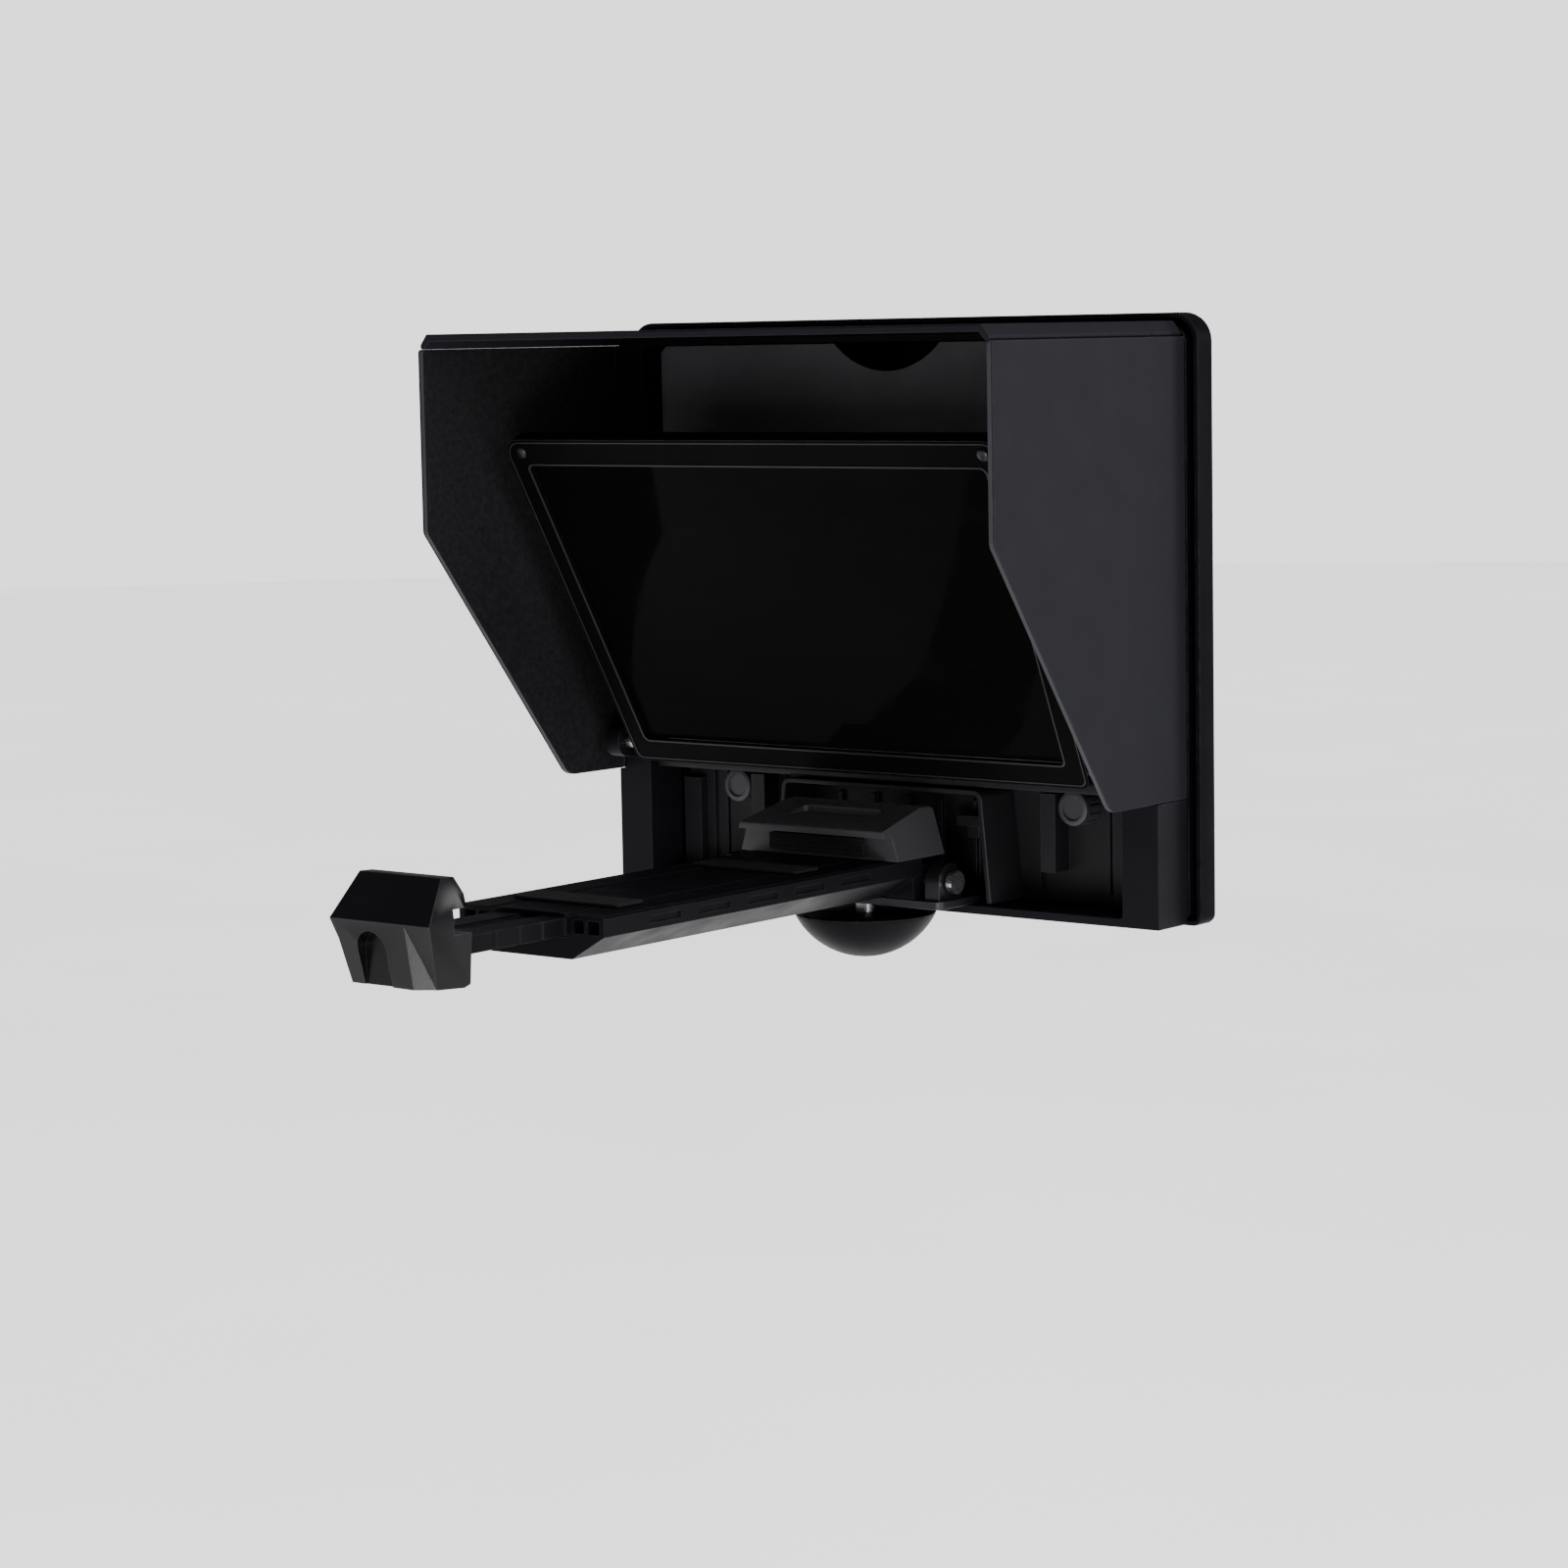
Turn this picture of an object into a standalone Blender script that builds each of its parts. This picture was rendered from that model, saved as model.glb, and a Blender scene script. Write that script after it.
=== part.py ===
"""Folding tablet teleprompter: housing, tilting beam-splitter glass, fold-out hood and tablet tray.

Everything is laid out on a bench frame in millimetres: X to the right as the speaker faces the
glass, Y backwards from the housing's front face, Z up from its bottom edge. at() turns a bench
point into metres in the part's own frame, whose origin is the middle of the lens adapter ring's
rear face, with +Y towards the camera.
"""
import math

import bmesh
import bpy
from mathutils import Matrix, Vector

MM = 0.001
GAP = 0.3                      # air left between neighbouring pieces

# housing
WALL_X = 103.8                 # half width over the front frame
INNER_X = 90.8                 # half width of the front opening
FRONT_DEPTH = 15.4             # front frame, front to back
FRONT_TOP = 176.1              # front frame's top face
PANEL_TOP = 174.0              # top edge of the hood's side panels
SHELL_X = 108.4                # half width over the rear shell
SHELL_TOP = 181.0
SHELL_BACK = 25.0              # outer face of the rear shell
BACK_WALL = 2.6                # rear shell's back wall
SCREW_X = 96.0                 # housing screws
SCREW_Z = (8.0, 168.0)

# recess under the glass
BOSS_FRONT = 12.0              # front ends of the bosses and of the ribs beside them
RIB_X = 56.2
COWL_FRONT = 2.0               # front edge of the surround over the tray's root
COWL_X = 38.4                  # its half width at the top
COWL_TOP = 38.0
BAR_LOW = 38.7                 # underside of the bar between the recess and the glass space

# lens interface
LENS_Z = 101.0                 # height of the lens axis
LENS_R = 38.5                  # clear radius of the adapter ring
COLLAR_BACK = 33.0             # rear face of the collar
RING_BACK = 37.0               # rear face of the adapter ring
SPRING_Z = LENS_Z + 53.5       # floor of the release button's pocket

# beam-splitter glass
GLASS_FOOT_X = 87.0            # half width of the glass frame at its foot
GLASS_TOP_X = 94.0             # and at its top
GLASS_LENGTH = 117.0           # along its slope
GLASS_TILT = math.radians(27.6)
GLASS_FRAME_T = 5.0
GLASS_TOP_Y, GLASS_TOP_Z = -64.5, 146.0
GLASS_BAR = 7.0                # width of its side bars
PIVOT_S, PIVOT_N = 5.0, 3.0    # pivot, along the slope from its foot and behind the front face

# hood
HOOD_T = 1.9                   # thickness of a hood panel
HOOD_FRONT = -86.0
HOOD_FOLD_Z = 178.6            # outer face of the top flap
PANEL_FOOT_Z = 38.0
KINK_Z = 118.0                 # where the panel's front edge starts to slant
FOOT_Y = -26.0
HOOD_SPLAY = math.radians(2.2)  # each side panel leans outwards by this at rest

# tablet tray
TRAY_Y, TRAY_Z = -8.0, 11.0    # tray hinge
PIN_R = 2.2
HOLE_R = 2.5
RAIL_FRONT = -160.0
RAIL_TOP = 18.8
TABLET_REAR = -30.5
TABLET_FRONT = -209.0
TABLET_UNDER = 19.9
LIP_UNDER = 26.4               # underside of both jaws' lips
SLIDE_X = 13.0
SLIDE_Z = (12.5, 17.5)
SLIDE_TAIL = -70.0

# lock knob
KNOB_Y = -6.0
KNOB_BOTTOM = -14.6
KNOB_R = 24.5
STUD_R = 3.0

ORIGIN = Vector((0.0, RING_BACK, LENS_Z))
ALONG = {
    "X": Matrix(((0, 0, 1), (1, 0, 0), (0, 1, 0))).to_4x4(),
    "Y": Matrix(((1, 0, 0), (0, 0, -1), (0, 1, 0))).to_4x4(),
    "Z": Matrix.Identity(4),
}


def at(x, y, z):
    """A bench point in metres in the part's frame."""
    return (Vector((x, y, z)) - ORIGIN) * MM


def clear_scene():
    for obj in list(bpy.data.objects):
        bpy.data.objects.remove(obj, do_unlink=True)


def new_collection(name):
    collection = bpy.data.collections.new(name)
    bpy.context.scene.collection.children.link(collection)
    return collection


def new_material(name, colour, roughness, metallic=0.0, alpha=1.0):
    material = bpy.data.materials.new(name)
    material.use_nodes = True
    shader = material.node_tree.nodes["Principled BSDF"]
    shader.inputs["Base Color"].default_value = (*colour, 1.0)
    shader.inputs["Roughness"].default_value = roughness
    shader.inputs["Metallic"].default_value = metallic
    shader.inputs["Alpha"].default_value = alpha
    material.diffuse_color = (*colour, alpha)
    return material


clear_scene()
PARTS = new_collection("teleprompter")
CUTTERS = new_collection("cutters")
MATERIALS = {
    "shell_plastic": new_material("shell_plastic", (0.012, 0.012, 0.015), 0.35),
    "frame_plastic": new_material("frame_plastic", (0.014, 0.014, 0.016), 0.45),
    "hood_board": new_material("hood_board", (0.036, 0.035, 0.040), 0.75),
    "tray_plastic": new_material("tray_plastic", (0.020, 0.020, 0.023), 0.40),
    "black_metal": new_material("black_metal", (0.030, 0.030, 0.033), 0.30, 0.9),
    "steel": new_material("steel", (0.45, 0.45, 0.47), 0.30, 1.0),
    "rubber": new_material("rubber", (0.015, 0.015, 0.016), 0.80),
    "glass": new_material("glass", (0.10, 0.11, 0.12), 0.03, 0.0, 0.35),
}


def place(obj, name, material=None):
    """Files an object as a named part, or as a cutter when it has no material."""
    obj.name = name
    obj.data.name = name
    for collection in list(obj.users_collection):
        collection.objects.unlink(obj)
    if material is None:
        CUTTERS.objects.link(obj)
        obj.hide_render = True
        obj.display_type = "WIRE"
        return obj
    PARTS.objects.link(obj)
    obj.data.materials.clear()
    obj.data.materials.append(MATERIALS[material])
    return obj


def bevel(obj, width, segments=2):
    modifier = obj.modifiers.new("edges", "BEVEL")
    modifier.width = width * MM
    modifier.segments = segments
    modifier.limit_method = "ANGLE"
    modifier.angle_limit = math.radians(35)
    return obj


def block(name, low, high, material=None):
    """A box between two bench corners."""
    centre = at(*((Vector(low) + Vector(high)) / 2))
    bpy.ops.mesh.primitive_cube_add(size=1, location=centre)
    obj = bpy.context.object
    obj.scale = (Vector(high) - Vector(low)) * MM
    bpy.ops.object.transform_apply(location=False, rotation=False, scale=True)
    return place(obj, name, material)


def rod(name, radius, start, end, material=None, sides=32):
    """A cylinder between two bench points."""
    start, end = at(*start), at(*end)
    span = end - start
    bpy.ops.mesh.primitive_cylinder_add(
        vertices=sides, radius=radius * MM, depth=span.length, location=(start + end) / 2)
    obj = bpy.context.object
    obj.rotation_euler = span.to_track_quat("Z", "Y").to_euler()
    obj.data.shade_smooth()
    obj.data.set_sharp_from_angle(angle=math.radians(40))
    return place(obj, name, material)


def sheet(name, loops, along, low, high, material=None):
    """A flat outline, with any holes, drawn out between two bench positions on one axis."""
    curve = bpy.data.curves.new(name, "CURVE")
    curve.dimensions = "2D"
    curve.fill_mode = "BOTH"
    curve.extrude = (high - low) / 2 * MM
    for loop in loops:
        spline = curve.splines.new("POLY")
        spline.points.add(len(loop) - 1)
        spline.use_cyclic_u = True
        for point, (u, v) in zip(spline.points, loop):
            point.co = (u * MM, v * MM, 0.0, 1.0)
    outline = bpy.data.objects.new(name + "_outline", curve)
    bpy.context.scene.collection.objects.link(outline)
    middle = [0.0, 0.0, 0.0]
    middle["XYZ".index(along)] = (low + high) / 2
    outline.matrix_world = Matrix.Translation(at(*middle)) @ ALONG[along]
    bpy.context.view_layer.update()
    evaluated = outline.evaluated_get(bpy.context.evaluated_depsgraph_get())
    mesh = bpy.data.meshes.new_from_object(evaluated)
    welded = bmesh.new()
    welded.from_mesh(mesh)
    bmesh.ops.remove_doubles(welded, verts=welded.verts, dist=0.000001)
    bmesh.ops.recalc_face_normals(welded, faces=welded.faces)
    welded.to_mesh(mesh)
    welded.free()
    obj = bpy.data.objects.new(name, mesh)
    obj.matrix_world = outline.matrix_world.copy()
    bpy.context.scene.collection.objects.link(obj)
    bpy.data.objects.remove(outline)
    return place(obj, name, material)


def turned(name, profile, centre, along, material=None, steps=48):
    """A profile of (radius, height) points turned about an axis through a bench point."""
    mesh = bpy.data.meshes.new(name)
    closed = profile[0][0] > 0 and profile[-1][0] > 0
    edges = [(i, i + 1) for i in range(len(profile) - 1)]
    if closed:
        edges.append((len(profile) - 1, 0))
    mesh.from_pydata([(r * MM, 0.0, h * MM) for r, h in profile], edges, [])
    obj = bpy.data.objects.new(name, mesh)
    bpy.context.scene.collection.objects.link(obj)
    direction = {"X": Vector((1, 0, 0)), "Y": Vector((0, 1, 0)), "Z": Vector((0, 0, 1))}[along]
    turn = direction.to_track_quat("Z", "Y").to_matrix().to_4x4()
    obj.matrix_world = Matrix.Translation(at(*centre)) @ turn
    screw = obj.modifiers.new("turn", "SCREW")
    screw.steps = steps
    screw.render_steps = steps
    screw.use_merge_vertices = True
    screw.merge_threshold = 0.00001
    return place(obj, name, material)


def combine(obj, operation, *others):
    for other in others:
        if other.users_collection[0] is not CUTTERS:
            place(other, other.name)
        modifier = obj.modifiers.new(operation.lower(), "BOOLEAN")
        modifier.operation = operation
        modifier.solver = "EXACT"
        modifier.object = other
    return obj


def cut(obj, *cutters):
    return combine(obj, "DIFFERENCE", *cutters)


def fuse(obj, *others):
    return combine(obj, "UNION", *others)


def overlap(obj, *others):
    return combine(obj, "INTERSECT", *others)


def rounded(low_u, low_v, high_u, high_v, radius_low, radius_high, steps=6):
    """A rectangle's outline, with one radius for its two lower and one for its two upper corners."""
    corners = (
        (high_u, low_v, -1, 1, radius_low, -90), (high_u, high_v, -1, -1, radius_high, 0),
        (low_u, high_v, 1, -1, radius_high, 90), (low_u, low_v, 1, 1, radius_low, 180))
    points = []
    for u, v, inward_u, inward_v, radius, start in corners:
        for step in range(steps + 1):
            angle = math.radians(start + 90 * step / steps)
            points.append((u + inward_u * radius + radius * math.cos(angle),
                           v + inward_v * radius + radius * math.sin(angle)))
    return points


def fillet(points, radii, steps=5):
    """An outline whose corners are rounded to the radius given for each."""
    outline = []
    count = len(points)
    for index, radius in enumerate(radii):
        corner = Vector(points[index])
        if radius == 0:
            outline.append(tuple(corner))
            continue
        before = (Vector(points[index - 1]) - corner).normalized()
        after = (Vector(points[(index + 1) % count]) - corner).normalized()
        half = before.angle(after) / 2
        reach = radius / math.tan(half)
        centre = corner + (before + after).normalized() * radius / math.sin(half)
        start = corner + before * reach - centre
        end = corner + after * reach - centre
        for step in range(steps + 1):
            share = step / steps
            spoke = (start * (1 - share) + end * share).normalized() * radius
            outline.append(tuple(centre + spoke))
    return outline


def arc(centre_u, centre_v, radius, first, last, steps):
    return [(centre_u + radius * math.cos(math.radians(first + (last - first) * i / steps)),
             centre_v + radius * math.sin(math.radians(first + (last - first) * i / steps)))
            for i in range(steps + 1)]


def mirrored(half):
    """A closed outline from its +u half, listed from top to bottom."""
    return [(-u, v) for u, v in reversed(half)] + list(half)


# ---------------------------------------------------------------- housing

def rear_shell():
    """Back cover: a shallow tray around the front frame, open at the lens."""
    outer = rounded(-SHELL_X, 0.0, SHELL_X, SHELL_TOP, 3.0, 8.5)
    shell = sheet("rear_shell", [outer], "Y", FRONT_DEPTH + GAP, SHELL_BACK, "shell_plastic")
    bevel(shell, 0.9)
    pocket = rounded(-103.4, 2.6, 103.4, 176.6, 1.5, 4.0, 3)
    cut(shell, sheet("shell_pocket", [pocket], "Y", FRONT_DEPTH - 2, SHELL_BACK - BACK_WALL))
    cut(shell, rod("shell_lens_hole", 41.5, (0, 10, LENS_Z), (0, 40, LENS_Z), sides=64))
    for side in (-1, 1):
        for z in SCREW_Z:
            x = side * SCREW_X
            cut(shell, rod("shell_screw_hole", 1.9, (x, 15, z), (x, 30, z), sides=16))
    return shell


def front_frame():
    """Front frame: a deep rectangular ring, rebated at the sides for the hood strips."""
    rebate = WALL_X - HOOD_T - GAP
    half = [(98.6, FRONT_TOP), (rebate, 172.5), (rebate, PANEL_FOOT_Z - GAP),
            (WALL_X, PANEL_FOOT_Z - GAP), (WALL_X, 0.4)]
    opening = rounded(-INNER_X, 3.0, INNER_X, 173.9, 1.0, 2.0, 3)
    frame = sheet("front_frame", [mirrored(half), opening], "Y", 0.0, FRONT_DEPTH, "frame_plastic")
    bevel(frame, 0.5)
    for side in (-1, 1):
        for z in SCREW_Z:
            x = side * SCREW_X
            cut(frame, rod("frame_screw_hole", 1.9, (x, 7, z), (x, 18, z), sides=16))
    return frame


def baffle_panel():
    """Dark wall behind the glass, with the lens window and a finger notch in its top edge."""
    top = 173.6
    notch_r, notch_depth = 28.0, 8.6
    half_angle = math.degrees(math.acos((notch_r - notch_depth) / notch_r))
    notch = arc(0, top + notch_r - notch_depth, notch_r, 270 + half_angle, 270 - half_angle, 10)
    edge = INNER_X - 0.4
    nip = 2.2
    outline = ([(edge, 44.6), (edge, top - nip), (edge - nip, top)] + notch
               + [(nip - edge, top), (-edge, top - nip), (-edge, 44.6)])
    window = rounded(-62.0, 61.0, 62.0, 141.0, 8.0, 8.0, 4)
    return sheet("baffle_panel", [outline, window], "Y", 9.0, 11.0, "frame_plastic")


def lower_panel():
    """Floor of the recess under the glass, with upright ribs beside the bosses and the walls."""
    panel = block("lower_panel", (-90.4, 19.6, 3.4), (90.4, 22.0, 44.0), "frame_plastic")
    for side in (-1, 1):
        x = side * RIB_X
        fuse(panel, block("panel_rib", (x - 2.6, BOSS_FRONT, 13), (x + 2.6, 20.0, 37.0)))
        edge = side * 86.5
        fuse(panel, block("panel_edge", (edge - 3.4, 16.0, 5), (edge + 3.4, 20.0, 34.0)))
        cut(panel, rod("boss_hole", 1.9, (side * 65, 17, 33), (side * 65, 24, 33), sides=16))
    return panel


def jaw_cowl():
    """Arch-shaped surround standing in the recess over the tray's root."""
    foot_z, top_z, wall = 3.4, COWL_TOP, 1.5
    outer = fillet([(COWL_X + 3.4, foot_z), (COWL_X, top_z), (-COWL_X, top_z),
                    (-COWL_X - 3.4, foot_z)], [0, 2.5, 2.5, 0], 3)
    inner = fillet([(COWL_X + 3.4 - wall, foot_z - 2), (COWL_X - wall, top_z - wall),
                    (wall - COWL_X, top_z - wall), (wall - COWL_X - 3.4, foot_z - 2)],
                   [0, 1.5, 1.5, 0], 3)
    cowl = sheet("jaw_cowl", [outer], "Y", COWL_FRONT, 19.3, "tray_plastic")
    return cut(cowl, sheet("cowl_hollow", [inner], "Y", COWL_FRONT - 2, 22))


def cross_bar():
    """Bar between the recess and the glass space."""
    bar = block("cross_bar", (-INNER_X + 0.4, 4.0, BAR_LOW), (INNER_X - 0.4, 17.0, 43.2),
                "frame_plastic")
    return bevel(bar, 0.6)


def thumb_bosses():
    for name, side in (("boss_left", -1), ("boss_right", 1)):
        profile = [(0, 7.5), (4.6, 7.5), (5.4, 6.7), (5.4, 0.3), (1.6, 0.3), (1.6, -2.0), (0, -2.0)]
        turned(name, profile, (side * 65, 19.6, 33), "Y", "tray_plastic", 24)
        flip_along_y(name)


def flip_along_y(name):
    """Turns a piece made pointing backwards so that it points forwards."""
    obj = bpy.data.objects[name]
    obj.matrix_world = obj.matrix_world @ Matrix.Rotation(math.pi, 4, "X")


def housing_screws():
    number = 0
    for z in SCREW_Z:
        for side in (-1, 1):
            number += 1
            profile = [(0, 1.9), (1.6, 1.9), (2.9, 1.2), (3.1, 0.3), (1.6, 0.3), (1.6, -15), (0, -15)]
            turned(f"housing_screw_{number}", profile, (side * SCREW_X, SHELL_BACK, z), "Y",
                   "black_metal", 16)


def tripod_bush():
    """Threaded bush under the housing, in a block on the bottom wall."""
    bush = turned("tripod_bush", [(5.2, 2.2), (5.2, -9.6), (3.2, -9.6), (3.2, 2.2)],
                  (-55, 8.0, 10.2), "Z", "steel", 24)
    boss = sheet("tripod_block", [rounded(-62, 1.2, -48, 15.0, 2, 2, 3)], "Z", 3.3, 12.4,
                 "frame_plastic")
    cut(boss, rod("bush_hole", 5.5, (-55, 8, 0), (-55, 8, 20), sides=24))
    frame = bpy.data.objects["front_frame"]
    cut(frame, rod("bush_opening", 5.5, (-55, 8, -2), (-55, 8, 3.2), sides=24))
    return bush


# ---------------------------------------------------------------- lens interface

def lens_collar():
    """Fixed collar on the back, with a pocket on top for the release button."""
    profile = [(50.5, 7.0), (51.5, 6.0), (51.5, 0.3), (42.0, 0.3), (42.0, 2.4), (44.4, 2.4),
               (44.4, 8.0), (50.5, 8.0)]
    collar = turned("lens_collar", profile, (0, SHELL_BACK, LENS_Z), "Y", "shell_plastic", 64)
    housing = block("button_housing", (-9, SHELL_BACK + GAP, LENS_Z + 47.5),
                    (9, COLLAR_BACK - 0.5, LENS_Z + 62.0))
    bevel(housing, 0.8)
    fuse(collar, housing)
    cut(collar, block("button_pocket", (-5.5, 27.0, SPRING_Z), (5.5, 31.0, LENS_Z + 63.0)))
    return collar


def adapter_ring():
    """Ring that screws into the lens's filter thread and twists into the collar."""
    rim_back = RING_BACK - SHELL_BACK
    profile = [(47.0, rim_back), (48.0, rim_back - 1.0), (48.0, 8.4), (44.0, 8.4), (44.0, 2.8),
               (LENS_R, 2.8), (LENS_R, rim_back)]
    return turned("adapter_ring", profile, (0, SHELL_BACK, LENS_Z), "Y", "black_metal", 64)


def release_button():
    """Push button on top of the collar and the coil spring under it."""
    button = block("release_button", (-5.1, 27.4, SPRING_Z + 2.5), (5.1, 30.6, LENS_Z + 63.8),
                   "black_metal")
    bevel(button, 0.6)
    coil_r, coil_height, turns, per_turn = 1.1, 1.4, 3, 8
    count = turns * per_turn
    curve = bpy.data.curves.new("button_spring", "CURVE")
    curve.dimensions = "3D"
    curve.bevel_depth = 0.2 * MM
    curve.bevel_resolution = 2
    curve.use_fill_caps = True
    spline = curve.splines.new("POLY")
    spline.points.add(count)
    for index, point in enumerate(spline.points):
        angle = 2 * math.pi * index / per_turn
        place_at = at(coil_r * math.cos(angle), 29.0 + coil_r * math.sin(angle),
                      SPRING_Z + 0.55 + coil_height * index / count)
        point.co = (*place_at, 1.0)
    spring = bpy.data.objects.new("button_spring", curve)
    bpy.context.scene.collection.objects.link(spring)
    place(spring, "button_spring", "steel")


# ---------------------------------------------------------------- beam-splitter glass

SLOPE = Vector((0.0, -math.sin(GLASS_TILT), math.cos(GLASS_TILT)))
INTO = Vector((0.0, math.cos(GLASS_TILT), math.sin(GLASS_TILT)))
GLASS_FOOT = Vector((0.0, GLASS_TOP_Y, GLASS_TOP_Z)) - SLOPE * GLASS_LENGTH
GLASS_PIVOT = GLASS_FOOT + SLOPE * PIVOT_S + INTO * PIVOT_N


def lean(obj):
    """Leans a piece that was made upright, with its foot at the bench origin, onto the slope."""
    bpy.context.view_layer.update()
    from_foot = Matrix.Translation(-at(0, 0, 0)) @ obj.matrix_world
    leaning = Matrix.Rotation(GLASS_TILT, 4, "X") @ from_foot
    obj.matrix_world = Matrix.Translation(at(*GLASS_FOOT)) @ leaning
    return obj


def glass_outline(inset, low, high, radius_low, radius_high):
    """Outline parallel to the glass frame's sides, which spread towards the top."""
    def half_width(s):
        return GLASS_FOOT_X + (GLASS_TOP_X - GLASS_FOOT_X) * s / GLASS_LENGTH - inset
    corners = [(half_width(low), low), (half_width(high), high), (-half_width(high), high),
               (-half_width(low), low)]
    return fillet(corners, [radius_low, radius_high, radius_high, radius_low], 4)


def glass_frame():
    outer = glass_outline(0.0, 0.0, GLASS_LENGTH, 3.0, 6.0)
    inner = glass_outline(GLASS_BAR, 8.0, GLASS_LENGTH - 9.0, 2.0, 2.0)
    frame = sheet("glass_frame", [outer], "Y", 0, GLASS_FRAME_T, "frame_plastic")
    bevel(frame, 0.5)
    seat = glass_outline(GLASS_BAR / 2, 4.6, GLASS_LENGTH - 5.0, 2.5, 4.0)
    window = sheet("glass_window", [inner], "Y", -2, 8)
    pocket = sheet("glass_seat", [seat], "Y", 1.4, 8)
    pins = [rod("glass_pin_hole", HOLE_R, (side * 82, PIVOT_N, PIVOT_S), (side * 92, PIVOT_N, PIVOT_S),
                sides=16) for side in (-1, 1)]
    for obj in [frame, window, pocket] + pins:
        lean(obj)
    cut(frame, window, pocket, *pins)
    return frame


def glass_pane():
    edge = 0.35
    outline = glass_outline(GLASS_BAR / 2 + edge, 7.7, GLASS_LENGTH - 5.0 - edge, 2.0, 3.5)
    return lean(sheet("glass_pane", [outline], "Y", 1.75, 4.75, "glass"))


def glass_fittings():
    """Two pivot pins at the foot and two small screws at the top corners."""
    for name, side in (("left", -1), ("right", 1)):
        lean(rod(f"glass_pin_{name}", PIN_R, (side * 83.4, PIVOT_N, PIVOT_S),
                 (side * 99.0, PIVOT_N, PIVOT_S), "steel", 16))
        screw = turned(f"glass_screw_{name}", [(0, -0.3), (1.9, -0.3), (1.9, -0.7), (1.2, -1.3), (0, -1.3)],
                       (side * 87.0, 0, GLASS_LENGTH - 4.4), "Y", "steel", 16)
        lean(screw)


def hinge_lugs():
    """Ears on the front frame that carry the glass pins."""
    for name, side in (("left", -1), ("right", 1)):
        y, z = GLASS_PIVOT.y, GLASS_PIVOT.z
        outline = [(-GAP, z - 6.5), (-GAP, z + 7.5)] + arc(y, z, 5.2, 70, 250, 8)
        low, high = sorted((side * 91.2, side * 97.2))
        lug = sheet(f"glass_lug_{name}", [outline], "X", low, high, "frame_plastic")
        cut(lug, rod("lug_hole", HOLE_R, (low - 1, y, z), (high + 1, y, z), sides=16))


# ---------------------------------------------------------------- hood

def hood_sides():
    """Side panels, each folding on a strip fixed in the front frame's rebate."""
    outline = fillet(
        [(-GAP, PANEL_TOP), (HOOD_FRONT, PANEL_TOP), (HOOD_FRONT, KINK_Z), (FOOT_Y, PANEL_FOOT_Z),
         (-GAP, PANEL_FOOT_Z)], [0, 1.0, 3.0, 6.0, 0], 4)
    strip = [(GAP, PANEL_FOOT_Z), (FRONT_DEPTH, PANEL_FOOT_Z), (FRONT_DEPTH, PANEL_TOP),
             (GAP, PANEL_TOP)]
    for name, side in (("left", -1), ("right", 1)):
        low, high = sorted((side * WALL_X, side * (WALL_X - HOOD_T)))
        panel = sheet(f"hood_side_{name}", [outline], "X", low, high, "hood_board")
        fold = Matrix.Translation(at(side * WALL_X, 0, 0))
        splay = Matrix.Rotation(side * HOOD_SPLAY, 4, "Z")
        panel.matrix_world = fold @ splay @ fold.inverted() @ panel.matrix_world
        sheet(f"hood_strip_{name}", [strip], "X", low, high, "hood_board")


def hood_top():
    """Top flap, wider in front, whose slanted edges meet the side panels; its strip on the frame."""
    half = [(100.3, HOOD_FOLD_Z), (WALL_X, PANEL_TOP + GAP), (WALL_X - 2.3, PANEL_TOP + GAP),
            (99.3, HOOD_FOLD_Z - 2.2)]
    flap = sheet("hood_top", [mirrored(half)], "Y", HOOD_FRONT, -GAP, "hood_board")
    spread = -HOOD_FRONT * MM * math.tan(HOOD_SPLAY)
    for vertex in flap.data.vertices:
        if vertex.co.z > 0:
            vertex.co.x += math.copysign(spread, vertex.co.x)
    sheet("hood_strip_top", [mirrored(half)], "Y", GAP, FRONT_DEPTH, "hood_board")


# ---------------------------------------------------------------- tablet tray

def tray_bracket():
    """Base in the recess with two ears for the tray's hinge pin."""
    bracket = block("tray_bracket", (-36, -16, 3.3), (36, 17.8, 5.7), "black_metal")
    bevel(bracket, 0.4)
    for side in (-1, 1):
        low, high = sorted((side * 28.6, side * 34.0))
        ear = arc(TRAY_Y, TRAY_Z, 5.8, 0, 180, 10) + [(TRAY_Y - 5.8, 4.4), (TRAY_Y + 5.8, 4.4)]
        fuse(bracket, sheet("bracket_ear", [ear], "X", low, high))
        cut(bracket, rod("ear_hole", HOLE_R, (low - 1, TRAY_Y, TRAY_Z), (high + 1, TRAY_Y, TRAY_Z),
                         sides=20))
    cut(bracket, rod("stud_hole", STUD_R + 0.4, (0, KNOB_Y, 0), (0, KNOB_Y, 9), sides=24))
    return bracket


def tray_pin():
    profile = [(0, 72.4), (3.6, 72.4), (3.6, 70.3), (PIN_R, 70.3), (PIN_R, 0), (0, 0)]
    return turned("tray_pin", profile, (-35.6, TRAY_Y, TRAY_Z), "X", "steel", 20)


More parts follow.
